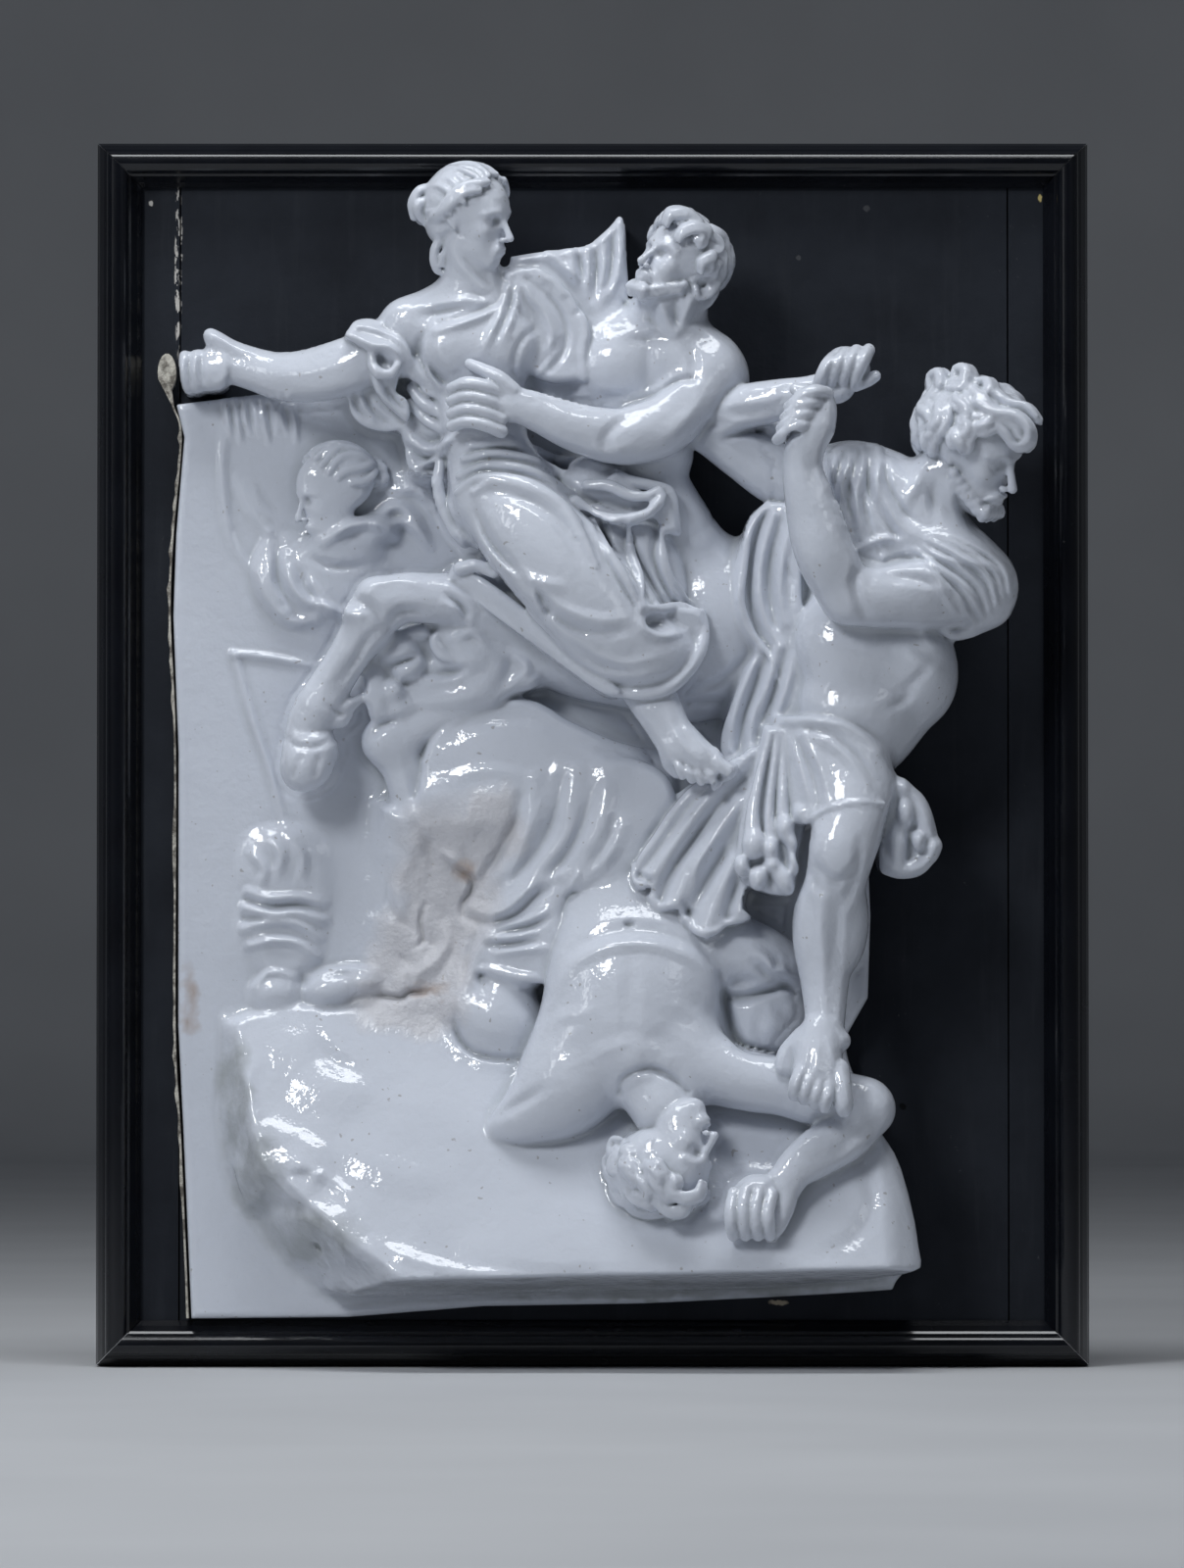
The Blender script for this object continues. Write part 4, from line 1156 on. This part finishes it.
def edge_number(tetra, a, b, cell, numbers):
    low, high = tetra[min(a, b)], tetra[max(a, b)]
    return numbers[tuple(high - low)][tuple((cell + low).T)]


def in_metres(points):
    """From (x, height, depth) in mm to Blender's axes, turned so that depth runs towards -Y."""
    return np.column_stack([points[:, 0], -points[:, 2] - BOARD_DEPTH / MM, points[:, 1]]) * MM


def object_from(name, points, faces, material):
    mesh = bpy.data.meshes.new(name)
    mesh.from_pydata(points.tolist(), [], faces.tolist())
    mesh.validate()
    mesh.materials.append(material)
    mesh.shade_smooth()
    obj = bpy.data.objects.new(name, mesh)
    bpy.context.scene.collection.objects.link(obj)
    return obj


def relief(material):
    clay = build_clay(GRID)
    fill_pockets(clay)
    points, triangles = skin(clay)
    obj = object_from("relief_plaque", in_metres(points), triangles, material)
    simpler = obj.modifiers.new("fewer_faces", "DECIMATE")
    simpler.ratio = RELIEF_TRIANGLES / len(triangles)
    return obj


# ---------------------------------------------------------------- frame and board
def moulding():
    """The rail's section: points (inward from the outer edge, forward from the wall), in metres."""
    lip, front = RAIL_WIDTH, BOARD_DEPTH + GAP
    bead_depth = FRAME_DEPTH - BEAD_RADIUS
    ring = [(0, 0), (lip - REBATE, 0), (lip - REBATE, front), (lip, front)]
    hollow = [(0, 0.0016), (0.0018, 0.0040), (0.0038, 0.0074), (0.0046, 0.0080)]
    ring += [(lip - inward, BOARD_DEPTH + forward) for inward, forward in hollow]
    for angle in range(0, 181, 10):
        a = math.radians(angle)
        ring.append((BEAD_INWARD + BEAD_RADIUS * math.cos(a), bead_depth + BEAD_RADIUS * math.sin(a)))
    slope = [(0.0027, 0.0056), (0.0010, 0.0088), (0, 0.0115)]
    ring += [(inward, FRAME_DEPTH - below) for inward, below in slope]
    return ring


def rail(name, length, half_across, quarter, material):
    """One mitred rail. It is made as the bottom rail, then turned by a number of quarter turns."""
    ring = moulding()
    points = []
    for end in (-1, 1):
        for inward, forward in ring:
            reach = length / 2 - inward - GAP * 0.75
            points.append((end * reach, -forward, -half_across + inward))
    n = len(ring)
    faces = [[k, (k + 1) % n, n + (k + 1) % n, n + k] for k in range(n)]
    faces += [list(range(n))[::-1], list(range(n, 2 * n))]
    bm = bmesh.new()
    verts = [bm.verts.new(p) for p in points]
    for face in faces:
        bm.faces.new([verts[k] for k in face])
    bmesh.ops.rotate(bm, verts=bm.verts, matrix=Matrix.Rotation(math.radians(90 * quarter), 3, "Y"))
    bmesh.ops.recalc_face_normals(bm, faces=bm.faces)
    return finished(name, bm, material, sharp=20)


def finished(name, bm, material, sharp=None):
    mesh = bpy.data.meshes.new(name)
    bm.to_mesh(mesh)
    bm.free()
    mesh.materials.append(material)
    if sharp:
        mesh.shade_smooth()
        mesh.set_sharp_from_angle(angle=math.radians(sharp))
    obj = bpy.data.objects.new(name, mesh)
    bpy.context.scene.collection.objects.link(obj)
    return obj


def strip(name, left, right, lap_left, lap_right, material):
    """One strip of the board. A lap widens the back half of an edge, or cuts it back if negative."""
    half = FRAME_HEIGHT / 2 - (RAIL_WIDTH - REBATE) - GAP
    middle = BOARD_DEPTH / 2
    ring = [(left, -BOARD_DEPTH), (right, -BOARD_DEPTH)]
    if lap_right:
        step = middle - math.copysign(GAP / 2, lap_right)
        ring += [(right, -step), (right + lap_right, -step)]
    ring.append((right + lap_right, 0))
    ring.append((left - lap_left, 0))
    if lap_left:
        step = middle - math.copysign(GAP / 2, lap_left)
        ring += [(left - lap_left, -step), (left, -step)]
    bm = bmesh.new()
    face = bm.faces.new([bm.verts.new((x, y, -half)) for x, y in ring])
    made = bmesh.ops.extrude_face_region(bm, geom=[face])
    top = [v for v in made["geom"] if isinstance(v, bmesh.types.BMVert)]
    bmesh.ops.translate(bm, verts=top, vec=(0, 0, 2 * half))
    bmesh.ops.recalc_face_normals(bm, faces=bm.faces)
    bmesh.ops.triangulate(bm, faces=bm.faces)
    return finished(name, bm, material)


def plaster(material):
    """Plaster packed along the ground's broken left edge, widening to a dab at the broken hand."""
    edge = spline(GROUND_LEFT[::-1], 10)
    inner = [(x - 1.1, z) for x, z in edge]
    outer = [(x - 1.8 - 1.0 * max(0, math.sin(0.61 * z) * math.sin(0.17 * z + 1)), z) for x,
             z in edge[::-1]]
    dab = []
    for angle in range(200, -61, -20):
        a = math.radians(angle)
        dab.append((DAB_PLACE[0] + DAB_RADII[0] * math.cos(a), DAB_PLACE[1] + DAB_RADII[1] * math.sin(a)))
    ring = inner + dab[::-1] + outer
    bm = bmesh.new()
    face = bm.faces.new([bm.verts.new((x * MM, -BOARD_DEPTH - GAP, z * MM)) for x, z in ring])
    made = bmesh.ops.extrude_face_region(bm, geom=[face])
    front = [v for v in made["geom"] if isinstance(v, bmesh.types.BMVert)]
    bmesh.ops.translate(bm, verts=front, vec=(0, -PLASTER_DEPTH, 0))
    bmesh.ops.recalc_face_normals(bm, faces=bm.faces)
    bmesh.ops.triangulate(bm, faces=bm.faces)
    return finished("plaster_fill", bm, material)


def paint(name, colour, roughness, coat=0.0):
    material = bpy.data.materials.new(name)
    material.use_nodes = True
    shader = material.node_tree.nodes["Principled BSDF"]
    shader.inputs["Base Color"].default_value = (*colour, 1)
    shader.inputs["Roughness"].default_value = roughness
    shader.inputs["Coat Weight"].default_value = coat
    return material


def main():
    for obj in list(bpy.data.objects):
        bpy.data.objects.remove(obj)
    black = paint("ebonised_wood", (0.008, 0.008, 0.010), 0.2, 0.5)
    board = paint("dark_painted_board", (0.035, 0.038, 0.045), 0.7)
    width, height = FRAME_WIDTH, FRAME_HEIGHT
    rail("frame_bottom", width, height / 2, 0, black)
    rail("frame_left", height, width / 2, 1, black)
    rail("frame_top", width, height / 2, 2, black)
    rail("frame_right", height, width / 2, 3, black)
    edge = width / 2 - (RAIL_WIDTH - REBATE) - GAP
    under, cut_back = LAP, -LAP - JOINT
    strip("side_strip_left", -edge, LEFT_JOINT - JOINT / 2, 0, under, board)
    strip("back_panel", LEFT_JOINT + JOINT / 2, RIGHT_JOINT - JOINT / 2, cut_back, cut_back, board)
    strip("side_strip_right", RIGHT_JOINT + JOINT / 2, edge, under, 0, board)
    plaster(paint("plaster", (0.62, 0.56, 0.46), 0.9))
    relief(paint("glazed_porcelain", (0.80, 0.80, 0.82), 0.12))


main()
